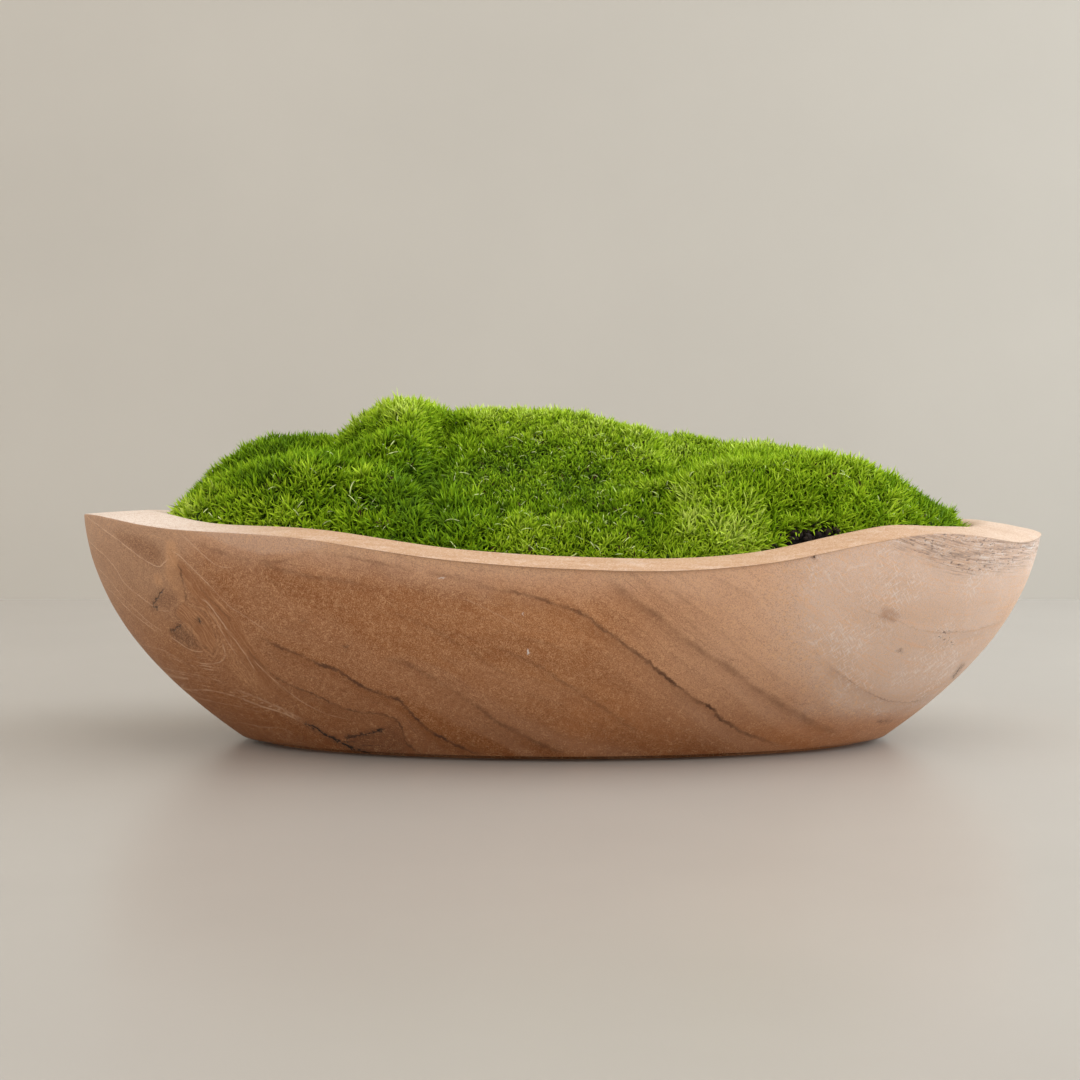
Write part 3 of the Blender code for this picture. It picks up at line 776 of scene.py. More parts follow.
@dataclass
class Bowl:
    """The carved bowl, with the CAD's sizes in metres and far finer rings."""

    rim: Oval = Oval(0.500, 0.250, 2.2)
    base: Oval = Oval(0.332, 0.152, 1.9)
    mouth: Oval = Oval(0.4224, 0.216, 2.3)
    floor: Oval = Oval(0.300, 0.116, 2.3)
    flare_height: float = 0.130
    flare_power: float = 2.2
    base_chamfer: float = 0.003
    foot_inset: float = 0.0085
    foot_steps: tuple = ((0.09, 0.0025), (0.90, 0.0026), (0.97, 0.0028))
    crest_share: float = 0.78
    face_crown: float = 0.58
    rim_rounding: float = 0.0018
    top_breadth: float = 0.035
    floor_height: float = 0.028
    hollow_flare_height: float = 0.112
    hollow_levels: tuple = (0.088, 0.070, 0.052, 0.038, 0.028)
    edge_radius: float = 0.0011
    wall_rows: int = 76
    top_rows: int = 12
    near_step: float = 1 / 3
    far_step: float = 2 / 3
    corner_shares: tuple = (0.25, 0.5, 0.75, 1.0)
    lip_shares: tuple = (0.3, 0.6, 1.0)
    lip_drop: float = 0.0036
    search_steps: int = 14
    search_pace: float = 0.7
    hand_wave: float = 0.00035
    fold: float = 0.012
    fold_start: float = 0.0006
    fold_shift: tuple = (0.35, -0.12)
    near_fade: tuple = (0.030, 0.004)
    grain_stiffness: float = 60.0
    sapwood_end: float = 232.0
    cap_place: tuple = (0.5, 0.955)
    cap_scale: tuple = (1.2, 0.30)
    cap_apart: float = 0.26
    strip_share: float = 0.94
    strip_gap: float = 0.004
    far_strip: float = 1.03
    map_margin: float = 0.01
    map_height: float = 0.075
    rim_edge: dict = field(default_factory=lambda: {
        0: 109, 25: 109.5, 70: 105.5, 95: 105, 140: 110, 160: 115, 180: 118.5, 200: 121,
        220: 117, 240: 114.5, 260: 104, 277: 99.3, 290: 102.2, 305: 111.6, 316: 115, 336: 107.5, 350: 108.5,
    })
    rim_rise: dict = field(default_factory=lambda: {
        0: 6, 25: 3.2, 95: 4, 180: 2, 210: 1.6, 240: 3, 275: 5.3, 300: 3.4, 320: 4, 335: 8, 350: 6.4,
    })

    def angles(self) -> np.ndarray:
        """Space the rings' points, closer together on the near side.

        Returns:
            Their angles.
        """
        near = np.arange(180, 360, self.near_step)
        far = np.arange(0, 180, self.far_step)
        return np.concatenate((far, near))

    def edge_height(self, angles: np.ndarray) -> np.ndarray:
        """Height of the rim's outer edge at each angle."""
        return ring_curve(self.rim_edge, angles) * MM

    def rise(self, angles: np.ndarray) -> np.ndarray:
        """How much higher the rim's crest is than its outer edge."""
        return ring_curve(self.rim_rise, angles) * MM

    def flared(self, low: Oval, high: Oval, angles: np.ndarray, share: Numbers,
               height: Numbers) -> np.ndarray:
        """Points between two ovals, on a wall that flares out at first and then stands steeper.

        Args:
            low: The lower oval.
            high: The upper one.
            angles: The points' angles.
            share: How far up the wall they lie, at each angle or at all.
            height: Their heights, or one height for all.

        Returns:
            The points, one to a row.
        """
        start, end = low.points(angles), high.points(angles)
        flare = 1 - (1 - np.minimum(share, 1)) ** self.flare_power
        points = start + (end - start) * np.reshape(flare, (-1, 1))
        points[:, 2] = height
        return points

    def wall(self, angles: np.ndarray, height: Numbers) -> np.ndarray:
        """Points of the outer wall.

        Args:
            angles: Their angles.
            height: Their heights, or one height for all.

        Returns:
            The points, one to a row.
        """
        return self.flared(self.base, self.rim, angles, height / self.flare_height, height)

    def hollow(self, angles: np.ndarray, height: float) -> np.ndarray:
        """Points of the hollow's wall at one height."""
        share = (height - self.floor_height) / (self.hollow_flare_height - self.floor_height)
        return self.flared(self.floor, self.mouth, angles, share, height)

    def top(self, angles: np.ndarray, share: float) -> np.ndarray:
        """Points of the rim's top.

        Args:
            angles: Their angles.
            share: How far they lie on the way from the rim's outer to its inner edge.

        Returns:
            The points, one to a row.
        """
        outer, inner = self.rim.points(angles), self.mouth.points(angles)
        points = outer + (inner - outer) * share
        face = np.interp(share, (0.0, self.crest_share / 2, self.crest_share), (0.0, self.face_crown, 1.0))
        past = max(share - self.crest_share, 0.0) / (1 - self.crest_share)
        drop = self.rim_rounding * past * past
        points[:, 2] = self.edge_height(angles) + self.rise(angles) * face - drop
        return points

    def rings(self, angles: np.ndarray) -> list[Ring]:
        """Draw the rings of the skin, from the flat base over the rim to the floor of the hollow.

        Args:
            angles: The angles of their points.

        Returns:
            The rings in order.
        """
        base = self.wall(angles, 0.0)
        foot = base * (1 - self.foot_inset / np.hypot(base[:, 0], base[:, 1]))[:, None]
        rings = [Ring(foot, Band.BASE)]
        for share, height in self.foot_steps:
            low = foot * (1 - share) + base * share
            low[:, 2] = height
            rings.append(Ring(low, Band.WALL))
        edge = self.edge_height(angles)
        for share in np.linspace(0.0, 1.0, self.wall_rows):
            height = self.base_chamfer + (edge - self.edge_radius - self.base_chamfer) * share
            rings.append(Ring(self.wall(angles, height), Band.WALL))
        top_start = self.edge_radius / self.top_breadth
        turned = self.top(angles, top_start)
        below = rings[-1].points
        corner = self.wall(angles, edge)
        for share in self.corner_shares:
            rings.append(Ring(bend(below, corner, turned, share), Band.TOP, float(share > 0.6)))
        for share in np.linspace(top_start, 1.0, self.top_rows + 1)[1:-1]:
            rings.append(Ring(self.top(angles, share), Band.TOP, 1.0))
        last = rings[-1].points
        corner = self.top(angles, 1.0)
        inside = self.hollow(angles, self.hollow_flare_height * 0.96)
        inside[:, 2] = corner[:, 2] - self.lip_drop
        for share in self.lip_shares:
            rings.append(Ring(bend(last, corner, inside, share), Band.HOLLOW, 1.0 - 0.5 * share))
        for share in (0.35, 0.7):
            down = inside * (1 - share) + self.hollow(angles, self.hollow_levels[0]) * share
            rings.append(Ring(down, Band.HOLLOW, 0.3))
        for level in self.hollow_levels:
            rings.append(Ring(self.hollow(angles, level), Band.HOLLOW, 0.0))
        return rings

    def near_wall_depth(self, x: float, z: float) -> float:
        """Find how far forward the near wall stands at a place.

        Args:
            x: The place along X.
            z: Its height.

        Returns:
            The wall's Y coordinate there.
        """
        angles = np.linspace(180.0, 360.0, 241)
        points = self.wall(angles, min(max(z, self.base_chamfer), self.flare_height))
        return float(np.interp(x, points[:, 0], points[:, 1]))

    def on_near_wall(self, photo: Photo, pixels: tuple) -> np.ndarray:
        """Where pixels of the photograph lie on the near wall.

        Args:
            photo: The photograph's camera.
            pixels: Pairs of pixels across and down.

        Returns:
            Pairs of X and Z in millimetres, one to a row.
        """
        found = []
        for across, down in pixels:
            ray = photo.ray(across, down)
            depth = -0.1
            for _ in range(self.search_steps):
                reach = (depth - photo.place[1]) / ray.y
                x = photo.place[0] + ray.x * reach
                z = photo.place[2] + ray.z * reach
                depth += self.search_pace * (self.near_wall_depth(x, z) - depth)
            found.append((x, z))
        return np.array(found) / MM

    def lines_on(self, lines: tuple, photo: Photo, flat: np.ndarray, presence: np.ndarray) -> np.ndarray:
        """Find the nearest line of a set to each vertex.

        Args:
            lines: The lines.
            photo: The photograph's camera.
            flat: The vertices' places on the near wall in millimetres.
            presence: How much of the set shows at each vertex.

        Returns:
            The offset, width and strength of the line, one vertex to a row.
        """
        nearest, second, offset = (np.full(len(flat), 1e3) for _ in range(3))
        width = np.ones(len(flat))
        strength = np.zeros(len(flat))
        for line in lines:
            path = smooth_path(self.on_near_wall(photo, line.pixels))
            away, side, along = offsets_from(path, flat)
            length = float(np.hypot(*np.diff(path, axis=0).T).sum())
            level = line.start + (line.end - line.start) * along / length
            level = level * ease(along, 0.0, line.fade) * ease(length - along, 0.0, line.fade)
            closer = away < nearest
            second = np.where(closer, nearest, np.minimum(second, away))
            nearest = np.where(closer, away, nearest)
            offset = np.where(closer, away * side, offset)
            width = np.where(closer, line.width, width)
            strength = np.where(closer, level, strength)
        strength = strength * ease(second - nearest, 0.0, 0.6) * ease(nearest, 12.0, 9.0) * presence
        return np.stack((np.clip(offset, -20, 20), width, strength), axis=1)

    def dress(self, mesh: Mesh, photo: Photo) -> None:
        """Store the grain, the lines and the patches of the wood as attributes of the mesh.

        Args:
            mesh: The bowl's mesh.
            photo: The photograph's camera.
        """
        places = all_of(mesh.vertices, "co", 3, np.float32).reshape(-1, 3).astype(float)
        depth = places[:, 1] + np.sqrt(places[:, 1] ** 2 + self.fold ** 2) - self.fold_start
        shift = depth[:, None] * np.array(self.fold_shift)
        flat = (places[:, [0, 2]] + shift) / MM
        near = ease(depth, *self.near_fade)

        def patch(pixels: tuple, far: float = 60.0) -> np.ndarray:
            """Distance outside a patch, larger by far on the far side."""
            outline = self.on_near_wall(photo, pixels)
            return np.clip(distance_into(outline, flat) + far * (1 - near), -25, 25)

        knots, levels = [], []
        for level, pixels in GRAIN_GUIDES:
            points = self.on_near_wall(photo, pixels)
            knots.extend(points)
            levels.extend([level] * len(points))
        grain = thin_plate(np.array(knots), np.array(levels), flat, self.grain_stiffness)
        away, side, along = offsets_from(smooth_path(self.on_near_wall(photo, FLAME_AXIS)), flat)
        clipped = np.stack((np.minimum(flat[:, 0], self.sapwood_end), flat[:, 1]), axis=1)
        sapwood = np.clip(distance_into(self.on_near_wall(photo, SAPWOOD_EDGE), clipped), -25, 25)
        pale = np.minimum(patch(PALE_OVAL_EDGE), patch(COLUMN_EDGE))
        triples = {
            "flame_flow": (np.clip(away * side, -30, 30), along, 0 * along),
            "wide_patches": (sapwood, patch(TONGUE_EDGE), patch(FOOT_EDGE)),
            "small_patches": (patch(PINK_LENS_EDGE), patch(WEATHERED_EDGE, 20.0), patch(SHADED_GRAIN_EDGE)),
            "spot_patches": (patch(SPECKLED_EDGE), patch(BROWN_SPOT_EDGE), patch(DARK_PATCH_EDGE)),
            "eye_patches": (patch(LOWER_EYE_EDGE), patch(UPPER_EYE_EDGE), pale),
        }
        held = {name: np.stack(parts, axis=1) for name, parts in triples.items()}
        held["dark_lines"] = self.lines_on(DARK_LINES, photo, flat, np.maximum(near, 0.65))
        for name, lines in {"light_lines": LIGHT_LINES, "cracks": CRACKS, "pale_marks": PALE_MARKS}.items():
            held[name] = self.lines_on(lines, photo, flat, near)
        held["grain"] = np.clip(grain, -6, 16)
        held["below_rim"] = self.below_rim(places)
        for name, values in held.items():
            set_attribute(mesh, name, values)

    def below_rim(self, places: np.ndarray) -> np.ndarray:
        """How far below the rim's outer edge each place lies, in millimetres."""
        return (self.edge_height(np.mod(self.rim.angles(places), 360.0)) - places[:, 2]) / MM

    def lay_map(self, mesh: Mesh, rings: list[Ring], angles: np.ndarray) -> None:
        """Give the skin its map: the near and the far half of each part as long strips.

        Args:
            mesh: The bowl's mesh, with the attributes ring and step.
            rings: The rings of the skin.
            angles: The angles of the rings' points.
        """
        count = len(angles)
        ring, step = (all_of(mesh.attributes[name].data, "value") for name in ("ring", "step"))
        middle = self.wall(np.append(angles, 360.0), self.map_height)
        run = np.concatenate(([0.0], np.cumsum(np.linalg.norm(np.diff(middle, axis=0), axis=1))))
        half = int(np.searchsorted(angles, 180.0))
        travel = [0.0]
        for before, after in zip(rings, rings[1:]):
            travel.append(travel[-1] + np.linalg.norm(after.points - before.points, axis=1).mean())
        travel = np.array(travel)
        limits = {}
        for band in Band:
            members = [number for number, made in enumerate(rings) if made.band is band]
            limits[band] = travel[max(members[0] - 1, 0)], travel[members[-1]]
        corners = all_of(mesh.loops, "vertex_index")
        uv = np.zeros((len(mesh.loops), 2))
        for face in mesh.polygons:
            loops = np.arange(face.loop_start, face.loop_start + face.loop_total)
            verts = corners[loops]
            rows, steps = ring[verts], step[verts]
            if len(verts) > 4:
                apart = self.cap_apart if rows[0] else -self.cap_apart
                points = rings[rows[0]].points[steps, :2]
                uv[loops] = np.array(self.cap_place) + (apart, 0.0) + points * self.cap_scale
                continue
            band = rings[int(rows.max())].band
            far = steps.max() - steps.min() <= 1 and steps.min() < half
            steps = np.where((steps == 0) & (not far), count, steps)
            start, end = (run[0], run[half]) if far else (run[half], run[count])
            low, high = limits[band]
            first, last = band.value
            height = (last - first) * self.strip_share
            base = first + (last - first) * (self.far_strip if far else 0.0) + self.strip_gap
            if band is Band.BASE:
                base, height = 0.0, 0.001
            margin = self.map_margin
            uv[loops, 0] = margin + (1 - 2 * margin) * (run[steps] - start) / (end - start)
            uv[loops, 1] = base + height * (travel[rows] - low) / (high - low + 1e-9)
        mesh.uv_layers.new(name=BAKE_MAP).data.foreach_set("uv", uv.ravel())

    def build(self, photo: Photo, material: Material) -> None:
        """Grow the skin ring by ring, close it and dress it.

        Args:
            photo: The photograph's camera.
            material: The wood.
        """
        angles = self.angles()
        rings = self.rings(angles)
        bm = bmesh.new()
        step_layer = bm.verts.layers.int.new("step")
        ring_layer = bm.verts.layers.int.new("ring")
        top_layer = bm.verts.layers.float.new("rim_top")
        bmesh.ops.create_circle(bm, cap_ends=True, segments=len(angles), radius=1.0)
        bm.verts.ensure_lookup_table()
        for index, vert in enumerate(bm.verts):
            vert[step_layer] = index
            vert.co = rings[0].points[index]
        edges = list(bm.edges)
        for number, ring in enumerate(rings[1:], start=1):
            grown = bmesh.ops.extrude_edge_only(bm, edges=edges)["geom"]
            for vert in (item for item in grown if isinstance(item, bmesh.types.BMVert)):
                vert[ring_layer] = number
                vert[top_layer] = ring.top
                vert.co = self.carved(Vector(ring.points[vert[step_layer]]), number)
            edges = [item for item in grown if isinstance(item, bmesh.types.BMEdge)]
        bmesh.ops.contextual_create(bm, geom=edges)
        bmesh.ops.recalc_face_normals(bm, faces=bm.faces)
        mesh = mesh_of(bm, "bowl_wood")
        self.lay_map(mesh, rings, angles)
        self.dress(mesh, photo)
        hand_over(link_object(mesh, material, 40.0), "bowl")

    def carved(self, point: Vector, number: int) -> Vector:
        """Move a point a little, as the carver's tools leave it.

        Args:
            point: The point as drawn.
            number: The number of its ring, low near the base.

        Returns:
            The point as carved.
        """
        hold = min(number / 8, 1.0)
        wave = noise.noise(point * 26.0) + 0.35 * noise.noise(point * 90.0)
        out = Vector((point.x, point.y * 2.0, 0.0)).normalized()
        return point - out * (abs(wave) * self.hand_wave * hold)


class Layers:
    """The wood under way: its colour so far, its coordinates and the waves that bend its edges."""

    def __init__(self, tree: Tree, groups: Groups, high: tuple, low: tuple) -> None:
        """Start with a colour that turns into a darker one towards the base, partly the wood's own darker
        foot and partly painted shade of the lower wall.

        Args:
            tree: The material's tree.
            groups: The shared effects.
            high: The colour of the upper wall.
            low: The colour at the base.
        """
        self.tree = tree
        self.groups = groups
        self.place = tree.place()
        self.x, _, self.z = tree.split(self.place)
        self.wander = tree.wave(self.place, 70.0, 3.0)
        self.shiver = tree.wave(self.place, 520.0, 1.0)
        grain = tree.mul(tree.attribute("grain"), 2.2)
        self.along = tree.join(grain, tree.mul(self.x, 14.0), tree.mul(self.z, 14.0))
        # Darker towards the base: partly the wood's own darker foot, partly painted shade of the lower wall.
        self.coat = Coat(tree, tree.mix(tree.band(self.z, 0.064, 0.004), high, low))

    def bent(self, value: object, wander: float, shiver: float = 0.0) -> Socket:
        """A value shifted by the slow wave and, where that has a reach, by the fast one."""
        value = self.tree.sway(value, self.wander, wander)
        return self.tree.sway(value, self.shiver, shiver) if shiver else value


@dataclass(frozen=True)
class WoodFinish:
    """Carved hardwood: warm brown heartwood, pale sapwood at the right and a pale sanded rim."""

    heart: tuple = (171, 113, 68)
    heart_low: tuple = (132, 74, 28)
    heart_red: tuple = (158, 96, 47)
    heart_pale: tuple = (216, 173, 142)
    quiet: tuple = (167, 128, 98)
    line_shade: tuple = (118, 70, 36)
    dark_line: tuple = (84, 50, 28)
    light_line: tuple = (222, 184, 150)
    crack: tuple = (36, 24, 17)
    fleck: tuple = (216, 167, 122)
    fleck_low: tuple = (176, 122, 76)
    pore: tuple = (116, 74, 46)
    flame: tuple = (146, 93, 54)
    flame_light: tuple = (203, 151, 107)
    flame_dark: tuple = (114, 70, 40)
    lower_eye: tuple = (100, 62, 38)
    upper_eye: tuple = (122, 80, 54)
    shaded: tuple = (104, 60, 36)
    warm: tuple = (188, 118, 66)
    sapwood: tuple = (210, 182, 163)
    sapwood_dull: tuple = (202, 170, 148)
    chalk: tuple = (234, 226, 218)
    weather: tuple = (122, 102, 88)
    pit: tuple = (70, 58, 50)
    spot: tuple = (150, 104, 70)
    lens: tuple = (198, 162, 138)
    rim: tuple = (198, 158, 124)
    rim_tip: tuple = (236, 220, 206)
    rim_end: tuple = (212, 186, 164)
    rim_grain: tuple = (182, 140, 104)

    def build(self, groups: Groups) -> Material:
        """Make the wood.

        Args:
            groups: The shared effects.

        Returns:
            The material.
        """
        material, tree, shader = new_material("carved_wood_finish", Slot.WOOD)
        wood = Layers(tree, groups, self.heart, self.heart_low)
        left = self.lay_heartwood(wood)
        sap_at = self.lay_sapwood(wood)
        knot = self.lay_knot(wood)
        relief = self.lay_texture(wood, left, knot, sap_at)
        dark_core = self.lay_dark_lines(wood)
        self.lay_light_lines(wood)
        pits = self.lay_weather(wood)
        crack_core = self.lay_cracks(wood)
        self.lay_rim(wood)
        hollows = tree.add(tree.mul(dark_core, 0.7), tree.mul(crack_core, 3.0), tree.mul(pits, 1.2))
        height = tree.minus(tree.mul(relief, 0.6), hollows)
        bump = tree.node("ShaderNodeBump", {"Height": height, "Strength": 0.5, "Distance": 0.0004})
        tree.feed_all(shader, {
            "Base Color": wood.coat.colour,
            "Roughness": tree.add(tree.mul(relief, 0.12), 0.50),
            "Specular IOR Level": 0.35,
            "Normal": bump.outputs[0],
        })
        return material

    def lay_heartwood(self, wood: Layers) -> Socket:
        """Lay the brown ground: paler under the rim and darker at the base, each partly the wood's own tone
        and partly painted light and shade; paler over the right half, partly as painted light; greyer at the
        left.

        Args:
            wood: The wood so far.

        Returns:
            The mask of the quiet left tip.
        """
        tree, coat, x, z = wood.tree, wood.coat, wood.x, wood.z
        coat.where(tree.noise(wood.place, 26.0), 0.46, 0.66, self.heart_red, 0.65)
        coat.where(tree.noise(wood.along, 1.0), 0.48, 0.66, self.heart_low, 0.45)
        coat.where(tree.stretched(wood.along, (0.55, 0.5, 0.5), 1.0), 0.44, 0.62, self.heart_pale, 0.22)
        coat.where(x, 0.02, -0.10, self.heart_low, 0.61)
        near_rim = wood.bent(tree.attribute("below_rim"), 14.0)
        # Paler under the rim: partly the wood's own paler band, partly painted light on the upper wall.
        coat.where(near_rim, 22.0, 1.0, self.heart_pale, 0.6)
        # The rim's pale colour fades over the edge: pale sanded wood, and a painted highlight of the rounded
        # edge.
        coat.where(near_rim, 6.0, 0.5, self.rim, 0.5)
        # Paler over the right half: partly the heartwood's own paler tone, partly painted light on the
        # shaded lower right wall.
        coat.where(x, 0.0, 0.12, self.heart_pale, 0.85, tree.band(z, -0.005, 0.07))
        coat.mottled(wood.groups, wood.place, 18.0, 0.05)
        high = tree.add(tree.mul(tree.band(z, 0.045, 0.095), 0.75), 0.05)
        left = tree.mul(tree.band(wood.bent(x, 0.05), -0.166, -0.205), high)
        coat.over(left, self.quiet)
        coat.where(tree.stretched(wood.along, (9.0, 2.2, 2.2), 1.0), 0.52, 0.70, self.dark_line, 0.12)
        lens, _, shaded = tree.triple("small_patches")
        dark_patch = tree.triple("spot_patches")[2]
        coat.where(wood.bent(lens, 3.0), 1.2, -1.8, self.lens, 0.6)
        coat.where(wood.bent(dark_patch, 8.0), 4.0, -4.0, self.line_shade, 0.62)
        coat.where(wood.bent(shaded, 8.0), 3.0, -4.0, self.shaded, 0.6)
        return left

    def lay_sapwood(self, wood: Layers) -> Socket:
        """Blend the pale sapwood over the right-hand end, and warm its foot.

        Args:
            wood: The wood so far.

        Returns:
            The distance outside the sapwood, with its edge roughened.
        """
        tree, coat = wood.tree, wood.coat
        sap_at = wood.bent(tree.triple("wide_patches")[0], 16.0, 7.0)
        pale = Coat(tree, self.sapwood)
        pale.where(tree.stretched(wood.along, (1.0, 0.8, 0.8), 3.0), 0.42, 0.66, self.sapwood_dull)
        pale.where(tree.stretched(wood.along, (9.0, 4.0, 4.0), 1.0), 0.54, 0.70, self.heart_pale, 0.5)
        pale.mottled(wood.groups, wood.place, 26.0, 0.04)
        coat.where(sap_at, 24.0, -2.0, pale.colour, 0.5)
        coat.where(sap_at, 5.0, -12.0, pale.colour, 0.92)
        coat.where(wood.x, 0.07, 0.13, self.warm, 0.55, tree.band(wood.z, 0.026, 0.011))
        return sap_at

    def lay_knot(self, wood: Layers) -> Socket:
        """Lay the knot's light swirl and its dark eyes over the wood.

        Args:
            wood: The wood so far.

        Returns:
            The knot's mask.
        """
        tree, coat = wood.tree, wood.coat
        _, tongue, foot = tree.triple("wide_patches")
        lower_eye, upper_eye, pale = tree.triple("eye_patches")
        across, down, _ = tree.triple("flame_flow")
        across = wood.bent(across, 7.0)
        flow = tree.join(tree.mul(across, 0.62), tree.mul(down, 0.035))
        streaks = tree.noise(flow, 1.0, 3.0, 0.4)
        fine = tree.stretched(flow, (3.2, 1.6, 1.0), 1.0)
        half = tree.mul(tree.band(down, 0.0, 34.0), tree.band(down, 124.0, 62.0), 5.2)
        half = tree.sway(half, tree.minus(streaks, 0.5), 5.0)
        frayed = tree.sway(tree.away(across), wood.shiver, 2.0)
        ends = tree.mul(tree.band(down, 0.0, 16.0), tree.band(down, 112.0, 76.0))
        body = tree.mul(tree.band(tree.minus(frayed, half), 1.6, -1.8), ends)
        stops = ((0.30, self.flame_dark), (0.44, self.flame), (0.56, self.flame), (0.68, self.flame_light))
        coat.over(body, tree.ramp(streaks, stops), 0.75)
        coat.where(fine, 0.5, 0.68, self.flame_light, 0.34, body)
        tongue = wood.bent(tongue, 5.0, 2.4)
        wave = tree.math("SINE", wood.bent(tree.mul(tongue, 2.5), 12.0))
        rings = tree.mul(tree.band(tongue, 5.5, 0.6), tree.band(tongue, -0.4, 0.4))
        coat.where(wave, 0.1, 0.9, self.flame_dark, 0.42, rings)
        coat.where(wave, -0.2, -0.9, self.flame_light, 0.28, rings)
        coat.where(wood.bent(lower_eye, 4.0), 1.6, -2.4, self.lower_eye, 0.7)
        coat.where(wood.bent(upper_eye, 4.0), 1.6, -2.4, self.upper_eye, 0.6)
        smooth = tree.mix(tree.band(fine, 0.42, 0.66), self.flame, self.flame_light)
        smooth = tree.mix(0.2, smooth, self.flame)
        coat.where(tree.sway(pale, wood.shiver, 2.0), 1.2, -1.6, self.flame_light, 0.5)
        inside = tree.band(tongue, 0.5, -0.9)
        coat.over(inside, smooth, 0.75)
        coat.where(tree.away(tongue), 0.8, 0.0, self.flame_dark, 0.10)
        coat.where(wood.bent(foot, 7.0), 1.6, -2.4, smooth, 0.6)
        return tree.math("MAXIMUM", inside, body)

    def lay_texture(self, wood: Layers, left: Socket, knot: Socket, sap_at: Socket) -> Socket:
        """Cover the wood with its fine curled fibres, denser where the sapwood begins.

        Args:
            wood: The wood so far.
            left: Mask of the quiet left tip.
            knot: Mask of the knot.
            sap_at: Distance outside the sapwood.

        Returns:
            The fibres' relief.
        """
        tree, coat = wood.tree, wood.coat
        fibre = tree.noise(wood.place, 1000.0, 0.0, 2.6)
        calm = tree.minus(1.0, tree.mul(tree.math("MAXIMUM", knot, tree.mul(left, 0.5)), 0.65))
        sap = tree.band(sap_at, 2.0, -10.0)
        # Flecks dimmer towards the base, like the ground under them: partly the wood's own, partly painted
        # shade of the lower wall.
        bright = tree.mix(tree.band(wood.z, 0.005, 0.06), self.fleck_low, self.fleck)
        coat.where(fibre, 0.53, 0.64, bright, 0.46, calm)
        coat.where(fibre, 0.47, 0.36, self.pore, 0.36, calm, tree.minus(1.0, tree.mul(sap, 0.5)))
        inputs = {"Place": wood.place, "Scale": 560.0, "Width": 0.07}
        flecks = tree.node("ShaderNodeGroup", inputs, node_tree=wood.groups.flecks).outputs["Mask"]
        edge_of_sap = tree.mul(tree.band(sap_at, 20.0, 2.0), tree.band(sap_at, -20.0, -6.0))
        shows = tree.mul(flecks, tree.add(tree.mul(edge_of_sap, 0.30), 0.40), calm)
        coat.where(tree.attribute("rim_top"), 0.5, 0.2, self.fleck, 1.0, shows)
        sanded = tree.mul(sap, tree.band(tree.noise(wood.place, 34.0), 0.40, 0.58))
        for turn in (38.0, 118.0):
            turning = {"Vector": wood.place, "Rotation": (0.0, math.radians(turn), 0.0)}
            turned = tree.node("ShaderNodeMapping", turning).outputs[0]
            scratches = tree.stretched(turned, (260.0, 260.0, 1700.0), 0.0)
            coat.where(scratches, 0.58, 0.72, self.chalk, 0.26, sanded)
        return tree.add(tree.mul(fibre, 0.8), tree.mul(shows, 0.6))

    def lay_dark_lines(self, wood: Layers) -> Socket:
        """Draw the dark growth lines, each with a soft shade on its lower side.

        Args:
            wood: The wood so far.

        Returns:
            The mask of the lines' cores.
        """
        tree, coat = wood.tree, wood.coat
        offset, width, strength = tree.triple("dark_lines")
        bent = wood.bent(offset, 2.2, 2.8)
        core = tree.mul(tree.band(tree.away(bent), width, tree.mul(width, 0.1)), strength)
        uneven = tree.add(tree.band(tree.noise(wood.place, 75.0), 0.36, 0.64), 0.35)
        slim = tree.add(tree.mul(tree.band(width, 3.2, 0.8), 0.5), 0.4)
        core = tree.math("MULTIPLY", core, tree.mul(uneven, slim), clamp=True)
        under = tree.mul(tree.band(bent, -10.0, -0.4), tree.band(bent, 1.8, -0.6))
        coat.over(tree.math("MULTIPLY", under, strength, clamp=True), self.line_shade, 0.44)
        coat.over(core, self.dark_line)
        return core

    def lay_light_lines(self, wood: Layers) -> None:
        """Draw the thin light lines round the knot and the pale marks.

        Args:
            wood: The wood so far.
        """
        tree, coat = wood.tree, wood.coat
        offset, width, strength = tree.triple("light_lines")
        broken = tree.add(tree.mul(tree.band(tree.noise(wood.place, 150.0, 1.0), 0.30, 0.62), 0.7), 0.3)
        bent = tree.away(wood.bent(offset, 1.0, 0.6))
        coat.where(bent, width, 0.0, self.light_line, 0.58, strength, broken)
        offset, width, strength = tree.triple("pale_marks")
        coat.where(tree.away(tree.sway(offset, wood.shiver, 2.0)), width, 0.0, self.chalk, 0.85, strength)

    def lay_cracks(self, wood: Layers) -> Socket:
        """Draw the cracks and the small dark marks.

        Args:
            wood: The wood so far.

        Returns:
            The mask of the cracks' cores.
        """
        tree, coat = wood.tree, wood.coat
        offset, width, strength = tree.triple("cracks")
        bent = tree.away(wood.bent(offset, 4.0, 4.5))
        core = tree.mul(tree.band(bent, width, 0.0), strength)
        coat.where(bent, 4.0, 0.0, self.dark_line, 0.4, strength)
        coat.over(core, self.crack)
        return core

    def lay_weather(self, wood: Layers) -> Socket:
        """Weather the wood under the rim at the right: grey streaks, chalk and pits.

        Args:
            wood: The wood so far.

        Returns:
            The mask of the pits.
        """
        tree, coat = wood.tree, wood.coat
        weather = tree.triple("small_patches")[1]
        speckled, brown_spot, _ = tree.triple("spot_patches")
        dashes = tree.stretched(wood.along, (20.0, 9.0, 3.0))
        near = tree.band(tree.sway(weather, tree.noise(wood.place, 60.0), 12.0), 13.0, 1.0)
        coat.over(near, self.weather, 0.16)
        coat.where(dashes, 0.50, 0.66, self.weather, 0.52, near)
        coat.where(dashes, 0.44, 0.32, self.chalk, 0.30, near)
        specks = tree.band(tree.stretched(wood.place, (420.0, 420.0, 1300.0), 1.0), 0.62, 0.70)
        pits = tree.mul(tree.band(tree.math("MINIMUM", weather, speckled), 2.0, -1.5), specks)
        coat.over(pits, self.pit, 0.6)
        coat.where(brown_spot, 3.5, -1.0, self.spot, 0.45)
        return pits

